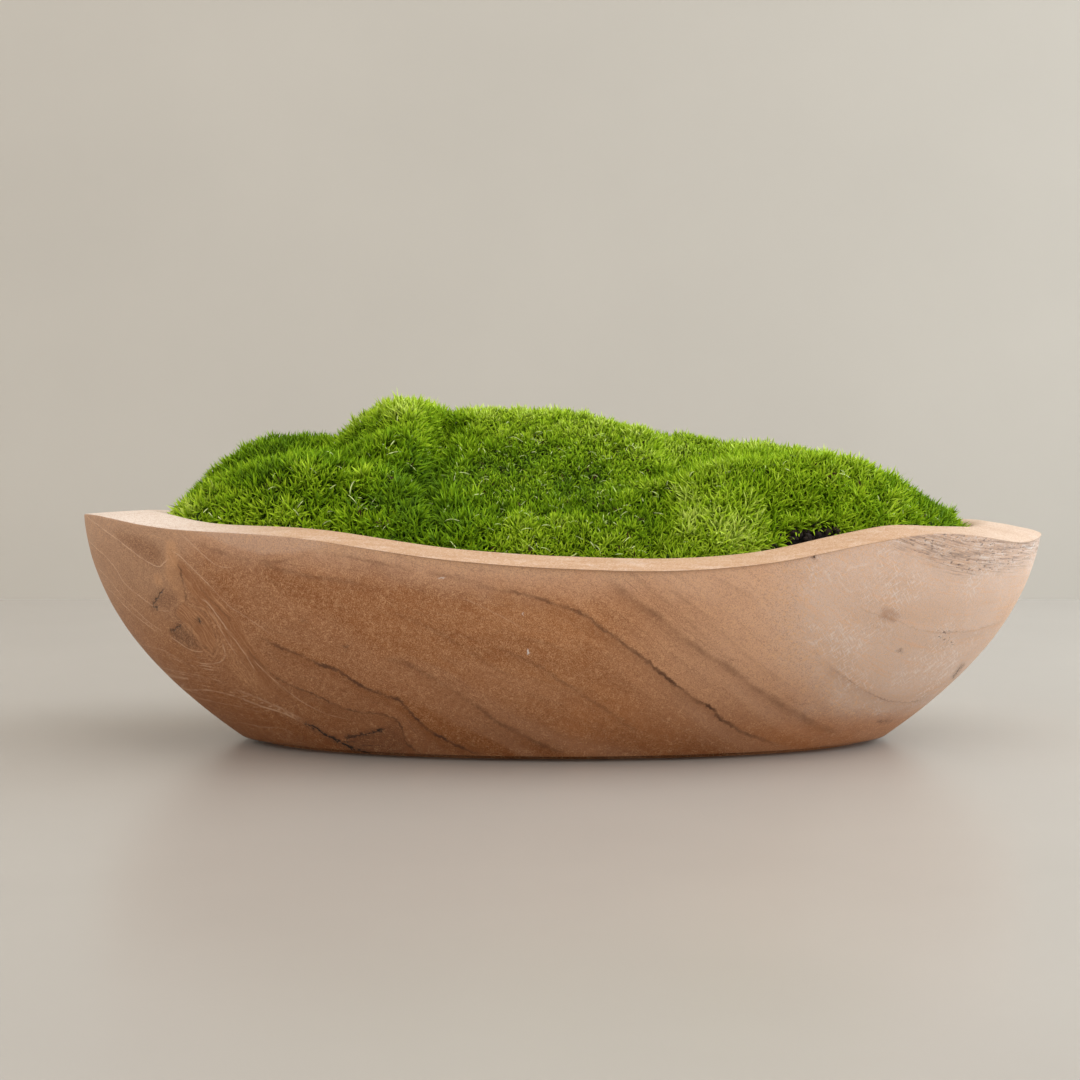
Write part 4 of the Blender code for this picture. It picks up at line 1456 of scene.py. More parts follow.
    def lay_rim(self, wood: Layers) -> None:
        """Colour the sanded top of the rim, palest at the two tips.

        Args:
            wood: The wood so far.
        """
        tree, place = wood.tree, wood.place
        top = Coat(tree, self.rim)
        top.where(tree.stretched(place, (22.0, 260.0, 260.0)), 0.46, 0.68, self.rim_grain, 0.55)
        top.where(wood.x, -0.12, -0.205, self.rim_tip, 0.85)
        top.where(wood.x, 0.15, 0.235, self.rim_end, 0.85)
        top.where(tree.stretched(place, (9.0, 70.0, 70.0), 3.0), 0.50, 0.66, self.rim_grain, 0.24)
        top.where(tree.stretched(place, (60.0, 160.0, 160.0), 3.0), 0.50, 0.72, self.rim_tip, 0.20)
        grit = tree.noise(place, 900.0, 0.0, 2.0)
        top.where(grit, 0.52, 0.64, self.rim_tip, 0.20)
        top.where(grit, 0.46, 0.36, self.rim_grain, 0.50)
        edge = tree.sway(tree.attribute("rim_top"), tree.noise(place, 220.0), 0.5)
        wood.coat.where(edge, 0.35, 0.75, top.colour)


@dataclass(frozen=True)
class SoilFinish:
    """Damp dark potting soil."""

    dark: tuple = (24, 16, 11)
    light: tuple = (58, 41, 28)

    def build(self, groups: Groups) -> Material:
        """Make the soil.

        Args:
            groups: The shared effects.

        Returns:
            The material.
        """
        material, tree, shader = new_material("dark_soil_finish", Slot.SOIL)
        place = tree.place()
        crumbs = tree.noise(place, 420.0, 4.0)
        coat = Coat(tree, tree.ramp(crumbs, ((0.35, self.dark), (0.72, self.light))))
        coat.mottled(groups, place, 60.0, 0.25)
        bump = tree.node("ShaderNodeBump", {"Height": crumbs, "Strength": 0.8, "Distance": 0.001})
        tree.feed_all(shader, {"Base Color": coat.colour, "Roughness": 0.92, "Normal": bump.outputs[0]})
        return material


class Tone(Enum):
    """Columns of the moss's map that hold something other than the run of greens."""

    GREEN_END = 0.76
    STRAW = 0.82
    BROWN = 0.87
    # SHADE: near-black, for the core by the bare spot: dark soil with painted shade of the gap under the
    # hem.
    SHADE = 0.92
    CORE = 0.97


@dataclass(frozen=True)
class MossFinish:
    """Living moss. The map's U picks a leaf's tone and its V runs from a leaf's root to its tip."""

    roots: tuple = ((33, 52, 7), (56, 84, 4), (90, 118, 6), (124, 146, 20))
    tips: tuple = ((85, 122, 25), (134, 172, 16), (182, 210, 46), (226, 238, 126))
    straw: tuple = (214, 226, 150)
    brown: tuple = (70, 48, 26)
    # Near-black at the bare spot: dark soil with painted shade of the gap under the hem.
    shade: tuple = (18, 12, 8)
    core: tuple = (40, 60, 8)
    # Roots darker than tips: paler young tips, and painted shade deep in the mat; the odd tones are dimmed
    # at the root by this factor.
    root_shade_factor: float = 0.75
    column_half: float = 0.022

    def stops(self, greens: tuple, dim: float) -> list[tuple]:
        """The ramp across the tones: the run of greens, and the odd tones in columns of their own.

        Args:
            greens: The greens, from the darkest.
            dim: How bright the odd tones are, below 1 at the roots as painted shade deep in the mat.

        Returns:
            Pairs of place and colour.
        """
        end = Tone.GREEN_END.value
        marks = [(end * k / (len(greens) - 1), green) for k, green in enumerate(greens)]
        odd_ones = {
            Tone.STRAW: self.straw, Tone.BROWN: self.brown, Tone.SHADE: self.shade, Tone.CORE: self.core,
        }
        for odd, colour in odd_ones.items():
            dimmed = tuple(part * dim for part in colour)
            marks += [(odd.value - self.column_half, dimmed), (odd.value + self.column_half, dimmed)]
        return marks

    def build(self) -> Material:
        """Make the moss.

        Returns:
            The material.
        """
        material, tree, shader = new_material("green_moss_finish", Slot.MOSS)
        tone, along, _ = tree.split(tree.node("ShaderNodeUVMap", uv_map=BAKE_MAP).outputs[0])
        root = tree.ramp(tone, self.stops(self.roots, self.root_shade_factor))
        tip = tree.ramp(tone, self.stops(self.tips, 1.0))
        # Darker towards each leaf's root: paler young tips, and painted shade deep in the mat.
        colour = tree.mix(tree.band(along, 0.02, 0.85), root, tip)
        tree.feed_all(shader, {"Base Color": colour, "Roughness": 0.65, "Specular IOR Level": 0.10})
        return material


@dataclass(frozen=True)
class Leaf:
    """One leaf of a shoot, in millimetres and degrees."""

    turn: float
    tilt: float
    length: float
    width: float
    start: float
    droop: float
    tone: float
    rows: int = 2


def add_leaf(bm: bmesh.types.BMesh, leaf: Leaf, tone: float) -> None:
    """Grow one leaf: an edge at the stem is extruded outwards in rows and closed in a tip.

    Args:
        bm: The shoot under construction.
        leaf: The leaf's sizes.
        tone: The middle of its column on the map.
    """
    uv = bm.loops.layers.uv.verify()
    turn = math.radians(leaf.turn)
    out = Vector((math.cos(turn), math.sin(turn), 0.0))
    side = Vector((-out.y, out.x, 0.0)) * (leaf.width / 2 * MM)
    place = Vector((0.0, 0.0, leaf.start * MM))
    step = leaf.length / leaf.rows * MM
    tilt = leaf.tilt
    first = [bm.verts.new(place - side * 0.7), bm.verts.new(place + side * 0.7)]
    edge = bm.edges.new(first)
    marks = {vert: 0.0 for vert in first}
    faces = []
    for row in range(1, leaf.rows + 1):
        lean = math.radians(tilt)
        place = place + (out * math.sin(lean) + Vector((0.0, 0.0, math.cos(lean)))) * step
        tilt += leaf.droop / leaf.rows
        grown = bmesh.ops.extrude_edge_only(bm, edges=[edge])["geom"]
        verts = [item for item in grown if isinstance(item, bmesh.types.BMVert)]
        faces += [item for item in grown if isinstance(item, bmesh.types.BMFace)]
        width = 1.0 if row < leaf.rows else 0.0
        taper = 1.0 - 0.45 * (row - 1) / leaf.rows
        base = (edge.verts[0].co + edge.verts[1].co) / 2
        for vert in verts:
            sign = 1.0 if (vert.co - base).dot(side) > 0 else -1.0
            vert.co = place + side * (sign * width * taper)
            marks[vert] = row / leaf.rows
        edge = next(item for item in grown if isinstance(item, bmesh.types.BMEdge))
    bmesh.ops.pointmerge(bm, verts=list(edge.verts), merge_co=place)
    for face in (item for item in faces if item.is_valid):
        for loop in face.loops:
            offset = (loop.vert.co - place).dot(side.normalized())
            sway = max(-1.0, min(1.0, offset / (leaf.width * MM)))
            reach = marks.get(loop.vert, 1.0)
            loop[uv].uv = (tone + leaf.tone + 0.004 * sway, 0.01 + 0.98 * reach)


class Habit(Enum):
    """The ways in which shoots grow."""

    STAR = "star"
    BRUSH = "brush"
    CURL = "curl"
    STRAND = "strand"
    HAIR = "hair"
    BIT = "bit"


@dataclass(frozen=True)
class Form:
    """How a leafy shoot grows: the number of its leaves, and their sizes in millimetres and degrees."""

    leaves: int
    spread: float
    reach: float
    widest: float
    droop: float
    lift: float
    bent: float


FORMS = {
    Habit.STAR: Form(12, 66.0, 7.2, 1.04, 30.0, 0.0, 0.4),
    Habit.BRUSH: Form(11, 50.0, 6.0, 0.90, 32.0, 0.0, 1.0),
    Habit.CURL: Form(11, 66.0, 4.8, 0.82, 62.0, 1.3, 0.3),
}


@dataclass
class Shoots:
    """The kinds of shoot that the moss is made of, each drawn several times."""

    draws: np.random.Generator
    kinds: int = 14
    made: dict = field(default_factory=dict)

    def leaves(self, habit: Habit) -> list[Leaf]:
        """Draw the leaves of one shoot.

        Args:
            habit: The way in which it grows.

        Returns:
            Its leaves.
        """
        draw = self.draws.uniform
        if habit is Habit.HAIR:
            return [Leaf(draw(0, 360), draw(2, 12), draw(7, 10), 0.5, 0.0, 10.0, 0.0, 3)]
        if habit is Habit.STRAND:
            turn, tilt = draw(0, 360), draw(40, 85)
            return [Leaf(turn, tilt, draw(3.5, 8), 0.46, draw(4.2, 5.2), draw(30, 120), 0.0, 4)]
        if habit is Habit.BIT:
            return [Leaf(draw(0, 360), draw(30, 80), draw(1.8, 3.4), 1.1, draw(2.8, 5.0), draw(0, 60), 0.0)
                    for _ in range(5)]
        form = FORMS[habit]
        found = []
        for k in range(form.leaves):
            share = (k + 0.5) / form.leaves
            found.append(Leaf(
                turn=k * 137.5 + draw(-20, 20),
                tilt=6 + form.spread * share ** 0.8 + draw(-8, 8),
                length=form.reach * (1.05 - 0.25 * share) * draw(0.82, 1.15),
                width=form.widest * draw(0.68, 1.0),
                start=2.6 * (1 - share) + form.lift + draw(-0.3, 0.3),
                droop=form.droop * draw(0.5, 1.5) * (0.5 + share),
                tone=0.08 * (0.5 - share) + draw(-0.09, 0.09),
                rows=3 if share > form.bent else 2,
            ))
        return found

    def build(self) -> None:
        """Model every kind of shoot once."""
        middle = {Habit.STRAND: Tone.STRAW.value, Habit.HAIR: Tone.BROWN.value, Habit.BIT: Tone.BROWN.value}
        for habit in Habit:
            self.made[habit] = []
            for number in range(self.kinds):
                bm = bmesh.new()
                bm.loops.layers.uv.new(BAKE_MAP)
                for leaf in self.leaves(habit):
                    add_leaf(bm, leaf, middle.get(habit, 0.0))
                self.made[habit].append(mesh_of(bm, f"shoot_{habit.value}_{number}"))

    def clear(self) -> None:
        """Take the models away once the moss is made."""
        for mesh in (mesh for kinds in self.made.values() for mesh in kinds):
            bpy.data.meshes.remove(mesh)


@dataclass(frozen=True)
class Growth:
    """How the moss of one cushion grows: its tone, the length of its leaves and how the wind combs it."""

    node: str
    tone: float
    length: float
    wind: tuple
    common: Habit
    star_share: float
    straw_share: float
    bit_share: float
    hair_share: float = 0.0


# A cushion's tone is partly its own green and partly painted light and shade: the left-back mound and the
# front tuft are set darker for the shade that they lie in, and the back ridge on the skyline is set lighter.
GROWTHS = (
    Growth("moss_peak", 0.42, 1.00, (0.05, -0.35), Habit.BRUSH, 0.35, 0.035, 0.006),
    Growth("moss_back_ridge", 0.48, 0.90, (0.10, -0.20), Habit.CURL, 0.15, 0.050, 0.016),
    Growth("moss_middle_slope", 0.28, 0.90, (0.20, -0.20), Habit.CURL, 0.15, 0.130, 0.030),
    Growth("moss_left_back", 0.17, 0.92, (-0.10, 0.10), Habit.BRUSH, 0.25, 0.015, 0.010, 0.012),
    Growth("moss_left_front", 0.29, 1.16, (0.60, -0.10), Habit.BRUSH, 0.30, 0.050, 0.010),
    Growth("moss_front_tuft", 0.12, 1.20, (0.10, -0.45), Habit.STAR, 0.80, 0.080, 0.012),
    Growth("moss_right_back", 0.46, 0.90, (0.05, -0.15), Habit.CURL, 0.15, 0.040, 0.016),
    Growth("moss_right_front", 0.36, 0.98, (0.10, -0.30), Habit.BRUSH, 0.60, 0.050, 0.012),
)


@dataclass(frozen=True)
class Dent:
    """A fold or a swelling of the moss: a path in plan, its width and its lift, in metres."""

    path: tuple
    reach: float
    lift: float


DENTS = (
    Dent(((-0.200, -0.004), (-0.150, 0.002), (-0.112, -0.002), (-0.096, -0.012)), 0.009, -0.0075),
    Dent(((-0.165, -0.038), (-0.115, -0.036)), 0.026, -0.0048),
    Dent(((-0.096, -0.026), (-0.088, -0.026)), 0.015, 0.0040),
    Dent(((-0.110, -0.044), (-0.093, -0.046), (-0.080, -0.050)), 0.006, -0.0050),
    Dent(((-0.132, -0.090), (-0.125, -0.085), (-0.116, -0.076), (-0.108, -0.062)), 0.006, -0.0060),
    Dent(((-0.104, -0.072), (-0.086, -0.074)), 0.012, 0.0040),
    Dent(((-0.062, 0.010), (-0.066, -0.030), (-0.070, -0.054), (-0.066, -0.078), (-0.061, -0.097)),
         0.006, -0.0100),
    Dent(((-0.076, 0.020), (-0.070, 0.022)), 0.010, -0.0020),
    Dent(((0.000, -0.050), (0.020, -0.043), (0.045, -0.037), (0.070, -0.036), (0.105, -0.031)),
         0.008, -0.0040),
    Dent(((0.026, -0.068), (0.048, -0.058), (0.093, -0.060), (0.116, -0.052), (0.148, -0.044)),
         0.009, 0.0030),
    Dent(((0.110, -0.076), (0.142, -0.070)), 0.008, -0.0040),
    Dent(((0.105, 0.030), (0.150, 0.026)), 0.035, -0.0030),
    Dent(((0.176, -0.004), (0.184, 0.004)), 0.014, -0.0024),
    Dent(((0.050, 0.035), (0.062, 0.035)), 0.018, 0.0040),
    Dent(((-0.170, 0.022), (-0.160, 0.022)), 0.012, -0.0016),
    Dent(((-0.205, 0.000), (-0.198, 0.010)), 0.012, 0.0020),
    Dent(((-0.046, 0.020), (-0.046, 0.062)), 0.012, 0.0034),
    Dent(((0.205, -0.010), (0.214, 0.010)), 0.014, 0.0030),
    Dent(((-0.060, 0.030), (0.040, 0.034)), 0.020, -0.0010),
)


@dataclass
class Blanket:
    """The surface that the moss's shoots stand on: the CAD's cushions with the creases filled."""

    step: float = 0.002
    closing: int = 4
    blurs: int = 4
    length: float = 0.440
    width: float = 0.232
    low: float = 0.086
    settle: float = 0.0010
    slope_low: float = 0.118
    slope_rise: float = 0.473
    tuft_waves: float = 100.0
    tuft_height: float = 0.0018
    tone_blurs: int = 24
    broad_blurs: int = 60
    slope_middle: float = -0.004
    slope_sides: tuple = (0.066, 0.040)
    slope_front: tuple = (-0.090, -0.078)
    slope_back: tuple = (0.022, 0.004)
    bare_spot: tuple = (0.1240, -0.0875)
    bare_reach: tuple = (0.035, 0.0165)
    tones: np.ndarray | None = None
    cores: list = field(default_factory=list)
    tufts: np.ndarray | None = None
    heights: np.ndarray | None = None
    broad: np.ndarray | None = None
    inside: np.ndarray | None = None

    @staticmethod
    def shifted(grid: np.ndarray, column: int, row: int) -> np.ndarray:
        """Move a grid by whole cells, with its border repeated.

        Args:
            grid: The grid.
            column: How many cells to the left.
            row: How many cells down.

        Returns:
            The moved grid.
        """
        rows, columns = grid.shape
        down = np.clip(np.arange(rows) + row, 0, rows - 1)
        right = np.clip(np.arange(columns) + column, 0, columns - 1)
        return grid[np.ix_(down, right)]

    def spread(self, grid: np.ndarray, choose: np.ufunc) -> np.ndarray:
        """Widen the high or the low parts of a grid by the closing distance.

        Args:
            grid: The grid.
            choose: Which of two values wins, the greater or the lesser.

        Returns:
            The grid afterwards.
        """
        found = grid
        for row in range(-self.closing, self.closing + 1):
            for column in range(-self.closing, self.closing + 1):
                if row * row + column * column <= self.closing ** 2 + 1:
                    found = choose(found, self.shifted(grid, column, row))
        return found

    def blurred(self, grid: np.ndarray, times: int) -> np.ndarray:
        """Smooth the small bumps of a grid away.

        Args:
            grid: The grid.
            times: How often it is smoothed.

        Returns:
            The smoothed grid.
        """
        for _ in range(times):
            grid = (self.shifted(grid, -1, 0) + 2 * grid + self.shifted(grid, 1, 0)) / 4
            grid = (self.shifted(grid, 0, -1) + 2 * grid + self.shifted(grid, 0, 1)) / 4
        return grid

    def build(self) -> None:
        """Read the cushions' heights from above, fill their creases and smooth the result."""
        everything = bmesh.new()
        tone_of = []
        for growth in GROWTHS:
            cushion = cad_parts[growth.node].data
            everything.from_mesh(cushion)
            tone_of += [growth.tone] * len(cushion.polygons)
        tree = BVHTree.FromBMesh(everything)
        everything.free()
        columns = int(self.length / self.step) + 1
        rows = int(self.width / self.step) + 1
        grid = np.full((rows, columns), self.low)
        tones = np.zeros((rows, columns))
        down = Vector((0.0, 0.0, -1.0))
        for row in range(rows):
            for column in range(columns):
                start = Vector((column * self.step - self.length / 2, row * self.step - self.width / 2, 0.3))
                hit, _, face, _ = tree.ray_cast(start, down)
                if hit and hit.z > self.low:
                    grid[row, column] = hit.z
                    tones[row, column] = tone_of[face]
        covered = self.blurred((tones > 0).astype(float), self.tone_blurs)
        self.tones = self.blurred(tones, self.tone_blurs) / (covered + 1e-6)
        closed = self.spread(self.spread(grid, np.maximum), np.minimum)
        self.broad = self.blurred(closed, self.broad_blurs)
        self.inside = self.blurred((closed > self.low + 0.002).astype(float), self.blurs)
        self.heights = self.shaped(self.blurred(closed, self.blurs))

    def shaped(self, grid: np.ndarray) -> np.ndarray:
        """Give the blanket its even middle slope, its folds and its small tussocks.

        Args:
            grid: The heights as the CAD has them.

        Returns:
            The heights as the moss grows.
        """
        rows, columns = grid.shape
        x, y = np.meshgrid(np.arange(columns) * self.step - self.length / 2,
                           np.arange(rows) * self.step - self.width / 2)
        places = np.stack((x.ravel(), y.ravel()), axis=1)
        even = ease(np.abs(x - self.slope_middle), *self.slope_sides)
        even = even * ease(y, *self.slope_front) * ease(y, *self.slope_back)
        shaped = grid + (self.slope_low + self.slope_rise * (y + 0.09) - grid) * even - self.settle
        for dent in DENTS:
            away = offsets_from(np.array(dent.path), places)[0].reshape(grid.shape)
            shaped = shaped + dent.lift * np.exp(-(away / dent.reach) ** 2)
        spots = [Vector((*place, 0.0)) for place in places]
        domes = [1.0 - 2.0 * noise.voronoi(spot * self.tuft_waves)[0][0] + 0.4 * noise.noise(spot * 230.0)
                 for spot in spots]
        self.tufts = np.array(domes).reshape(grid.shape)
        return shaped + self.tuft_height * self.tufts

    def read(self, grid: np.ndarray, x: float, y: float) -> float:
        """Read a grid's value at a place, blended between its cells.

        Args:
            grid: The grid.
            x: The place along X.
            y: The place along Y.

        Returns:
            The value.
        """
        across = min(max((x + self.length / 2) / self.step, 0.0), grid.shape[1] - 1.001)
        along = min(max((y + self.width / 2) / self.step, 0.0), grid.shape[0] - 1.001)
        column, row = int(across), int(along)
        u, v = across - column, along - row
        low = grid[row, column] * (1 - u) + grid[row, column + 1] * u
        high = grid[row + 1, column] * (1 - u) + grid[row + 1, column + 1] * u
        return float(low * (1 - v) + high * v)

    def bare(self, place: Vector) -> float:
        """How bare the moss's hem is at a place: above 0 by the spot where the soil shows."""
        across = (place.x - self.bare_spot[0]) / self.bare_reach[0]
        along = (place.y - self.bare_spot[1]) / self.bare_reach[1]
        return 1.0 - math.hypot(across, along)

    def hold(self, x: float, y: float) -> float:
        """How far the blanket holds at a place: 1 well inside the moss and 0 at its hem."""
        return rise(self.read(self.inside, x, y), 0.90, 0.09)

    def normal(self, x: float, y: float) -> Vector:
        """Find the blanket's normal at a place.

        Args:
            x: The place along X.
            y: The place along Y.

        Returns:
            The normal.
        """
        reach = self.step
        slope_x = self.read(self.heights, x + reach, y) - self.read(self.heights, x - reach, y)
        slope_y = self.read(self.heights, x, y + reach) - self.read(self.heights, x, y - reach)
        return Vector((-slope_x, -slope_y, 2 * reach)).normalized()


@dataclass
class MossCushion:
    """One cushion of moss: a dark core, and shoots all over it."""

    growth: Growth
    shoots: Shoots
    blanket: Blanket
    draws: np.random.Generator
    loosest: float = 0.0024
    core_sink: float = 0.0036
    root_depth: float = 0.0040
    upright_from: float = -0.064
    smoothings: int = 3
    lowest_slope: float = 0.12
    tries_for_one: int = 5
    closest: float = 0.86
    clump_waves: tuple = (95.0, 30.0)
    clump_growth: float = 0.26
    swirl_waves: float = 42.0
    upright_waves: float = 60.0
    upright_sway: float = 0.02
    bare_shade: float = -0.25
    bare_stars: float = -0.6
    bare_gain: float = 1.15
    lift: float = 0.30
    sway: float = 0.6
    looseness: float = 0.22
    # Painted light and shade in the shoots' tones: lighter on crests and tussock tops, darker in hollows, at
    # the right-hand end and by the bare spot.
    crest_height: float = 0.008
    clump_tone: float = 0.25
    crest_painted_light: float = 0.12
    dome_painted_light: float = 0.10
    loose_tone: float = 0.06
    right_end: tuple = (0.14, 0.05)
    right_shade: float = 0.19
    front_strip: tuple = (0.055, 0.02)
    front_start: float = -0.06
    front_light: float = 0.06
    past_slope: tuple = (0.075, 0.03)
    past_shade: float = 0.14
    darkest: float = 0.09
    lightest: float = 0.62

    def core(self) -> tuple[bmesh.types.BMesh, bmesh.types.BMesh]:
        """Copy the CAD cushion, once sunk to make the core and once smoothed to carry the shoots.

        Returns:
            The core and the carrier.
        """
        core = bmesh.new()
        core.from_mesh(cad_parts[self.growth.node].data)
        bmesh.ops.remove_doubles(core, verts=core.verts, dist=1e-5)
        bmesh.ops.recalc_face_normals(core, faces=core.faces)
        carrier = core.copy()
        for _ in range(self.smoothings):
            upper = [vert for vert in carrier.verts if vert.normal.z > 0.1]
            bmesh.ops.smooth_vert(carrier, verts=upper, factor=0.5, use_axis_z=True)
        carrier.normal_update()
        low = min(vert.co.z for vert in core.verts)
        for vert in core.verts:
            if vert.normal.z > 0.0:
                vert.co -= vert.normal * self.core_sink
                vert.co.z = max(vert.co.z, low)
                hold = self.blanket.hold(vert.co.x, vert.co.y)
                filled = self.blanket.read(self.blanket.heights, vert.co.x, vert.co.y) - self.core_sink * 1.3
                vert.co.z += (filled - vert.co.z) * hold
        core.normal_update()
        return core, carrier

    def lifted(self, place: Vector, normal: Vector) -> tuple[Vector, Vector]:
        """Bring a place to the blanket's height.

        Args:
            place: A place on the smoothed cushion.
            normal: The surface normal there.

        Returns:
            The place and normal on the blanket, or as given at the hem.
        """
        hold = self.blanket.hold(place.x, place.y)
        gain = self.blanket.read(self.blanket.heights, place.x, place.y) - place.z
        mixed = normal.lerp(self.blanket.normal(place.x, place.y), hold).normalized()
        return place + Vector((0.0, 0.0, gain * hold)), mixed

    def spots(self, carrier: bmesh.types.BMesh) -> list[tuple[Vector, Vector]]:
        """Scatter the places of the shoots over the carrier, none too near another.

        Args:
            carrier: The smoothed cushion.

        Returns:
            Pairs of place and surface normal.
        """
        bmesh.ops.triangulate(carrier, faces=carrier.faces)
        faces = [face for face in carrier.faces if face.normal.z > self.lowest_slope]
        areas = np.array([face.calc_area() for face in faces])
        total = float(areas.sum())
        spacing = self.loosest * self.growth.length
        tries = int(total / spacing ** 2 * self.tries_for_one)
        picks = self.draws.choice(len(faces), size=tries, p=areas / total)
        shares = self.draws.uniform(size=(tries, 2))
        taken: dict = {}
        found = []
        for pick, (u, v) in zip(picks, shares):
            if u + v > 1:
                u, v = 1 - u, 1 - v
            verts = faces[pick].verts
            place = verts[0].co * (1 - u - v) + verts[1].co * u + verts[2].co * v
            normal = verts[0].normal * (1 - u - v) + verts[1].normal * u + verts[2].normal * v
            place, normal = self.lifted(place, normal.normalized())
            if self.blanket.bare(place) > self.draws.uniform(0.0, 0.5):
                continue
            key = tuple(int(math.floor(part / spacing)) for part in place)
            if self.crowded(place, key, taken, spacing):
                continue
            taken.setdefault(key, []).append(place)
            found.append((place, normal))
        return found

    def crowded(self, place: Vector, key: tuple, taken: dict, spacing: float) -> bool:
        """Look for another shoot within the spacing.

        Args:
            place: Where a shoot would stand.
            key: The place's cell.
            taken: The shoots that stand already, by cell.
            spacing: The side of a cell, a little more than the least distance.

        Returns:
            True where there is one.
        """
        limit = (spacing * self.closest) ** 2
        for x in (-1, 0, 1):
            for y in (-1, 0, 1):
                for z in (-1, 0, 1):
                    for other in taken.get((key[0] + x, key[1] + y, key[2] + z), ()):
                        if (other - place).length_squared < limit:
                            return True
        return False

    def habit(self, place: Vector) -> Habit:
        """Draw how one shoot grows. By the near wall they stand upright and don't curl.

        Args:
            place: Where it stands.

        Returns:
            Its habit.
        """
        draw = self.draws.uniform()
        growth = self.growth
        edge = self.upright_from + self.upright_sway * noise.noise(place * self.upright_waves)
        upright = growth.common is Habit.CURL and place.y < edge
        for habit, share in ((Habit.HAIR, growth.hair_share), (Habit.STRAND, growth.straw_share),
                             (Habit.BIT, growth.bit_share)):
            if draw < share:
                return habit
            draw -= share
        common = Habit.BRUSH if upright else growth.common
        return Habit.STAR if self.draws.uniform() < growth.star_share else common

    def shoot(self, habit: Habit, place: Vector, normal: Vector, clump: float, gain: float) -> Mesh:
        """Draw one shoot of a habit and stand it at its place.

        Args:
            habit: The way in which it grows.
            place: Where it stands.
            normal: The surface normal there.
            clump: How lush the moss is there, about 0.
            gain: How much larger than others it is.

        Returns:
            The shoot's own mesh, in its place.
        """
        wind = Vector((*self.growth.wind, 0.0))
        spot = place * self.swirl_waves
        swirl = Vector((noise.noise(spot), noise.noise(spot + Vector((9, 4, 2))), 0.0))
        loose = Vector(self.draws.normal(0.0, self.looseness, 3))
        up = Vector((0.0, 0.0, 1.0))
        aim = (normal + up * self.lift + wind * self.sway + swirl * self.sway + loose).normalized()
        lush = 1.0 + self.clump_growth * clump
        size = self.growth.length * lush * self.draws.uniform(0.82, 1.12) * gain
        spin = Matrix.Rotation(self.draws.uniform(0, 2 * math.pi), 4, "Z")
        turn = up.rotation_difference(aim).to_matrix().to_4x4()
        root = place - normal * (self.root_depth * self.growth.length)
        kinds = self.shoots.made[habit]
        made = kinds[int(self.draws.integers(len(kinds)))].copy()
        made.transform(Matrix.Translation(root) @ turn @ spin @ Matrix.Scale(size, 4))
        return made

    def tone(self, place: Vector, clump: float) -> float:
        """Draw how light a shoot is: lighter in lush clumps, with painted light on crests and tussock tops,
        painted shade in hollows, towards the right-hand end and by the bare spot, and lighter along the near
        strip right of the middle.

        Args:
            place: Where it stands.
            clump: How lush the moss is there, about 0.

        Returns:
            How far its leaves move across the map.
        """
        blanket = self.blanket
        # Painted light and shade: crests above the broad blanket and tussock tops lighter, hollows darker.
        crest = (place.z - blanket.read(blanket.broad, place.x, place.y)) / self.crest_height
        crest = min(max(crest, -1.0), 1.0)
        dome = blanket.read(blanket.tufts, place.x, place.y)
        tone = blanket.read(blanket.tones, place.x, place.y)
        tone += self.clump_tone * clump + self.crest_painted_light * crest + self.dome_painted_light * dome
        tone += self.draws.normal(0.0, self.loose_tone)
        # Painted shade towards the right-hand end.
        tone -= self.right_shade * rise(place.x, *self.right_end)
        # Lighter along the near strip right of the middle, with painted shade by the bare spot.
        light = self.front_light * (place.x > self.front_start)
        light -= self.past_shade * rise(place.x, *self.past_slope)
        tone += rise(-place.y, *self.front_strip) * light
        return min(max(tone, self.darkest), self.lightest)

    def map_core(self, core: bmesh.types.BMesh) -> None:
        """Put the core's faces on the map's dark columns, each a little elsewhere: near-black SHADE by the
        bare spot, dark soil with painted shade of the gap under the hem.

        Args:
            core: The core.
        """
        uv = core.loops.layers.uv.new(BAKE_MAP)
        for number, face in enumerate(core.faces):
            bare = self.blanket.bare(face.calc_center_median()) > self.bare_shade
            column = Tone.SHADE.value if bare else Tone.CORE.value
            for turn, loop in enumerate(face.loops):
                across = column + 0.008 * math.sin(number + turn)
                loop[uv].uv = (across, 0.5 + 0.3 * math.cos(number * 1.7 + turn))

    def build(self, material: Material) -> None:
        """Cover the core with shoots.

        Args:
            material: The moss.
        """
        core, carrier = self.core()
        self.blanket.cores.append(BVHTree.FromBMesh(core))
        spots = self.spots(carrier)
        carrier.free()
        self.map_core(core)
        counts, tones = [len(core.faces)], [0.0]
        for place, normal in spots:
            habit = self.habit(place)
            clump = sum(noise.noise(place * waves) * 0.5 for waves in self.clump_waves)
            bare = self.blanket.bare(place) > self.bare_stars
            habit = Habit.STAR if bare else habit
            made = self.shoot(habit, place, normal, clump, self.bare_gain if bare else 1.0)
            core.from_mesh(made)
            counts.append(len(made.polygons))
            bpy.data.meshes.remove(made)
            tone = self.tone(place, clump)
            tones.append(tone if habit in FORMS else 0.0)
        mesh = mesh_of(core, f"{self.growth.node}_leaves")
        self.tone_leaves(mesh, counts, tones)
        hand_over(link_object(mesh, material, 180.0), self.growth.node)

    def tone_leaves(self, mesh: Mesh, counts: list[int], tones: list[float]) -> None:
        """Move each shoot's faces to its own tone on the map.

        Args:
            mesh: The cushion's mesh, with the core's faces first.
            counts: How many faces the core and each shoot have.
            tones: How far each moves.
        """
        loops = all_of(mesh.polygons, "loop_total")
        layer = mesh.uv_layers[BAKE_MAP]
        uv = all_of(layer.data, "uv", 2, np.float32)
        uv[::2] += np.repeat(np.repeat(np.array(tones), counts), loops)
        layer.data.foreach_set("uv", uv)


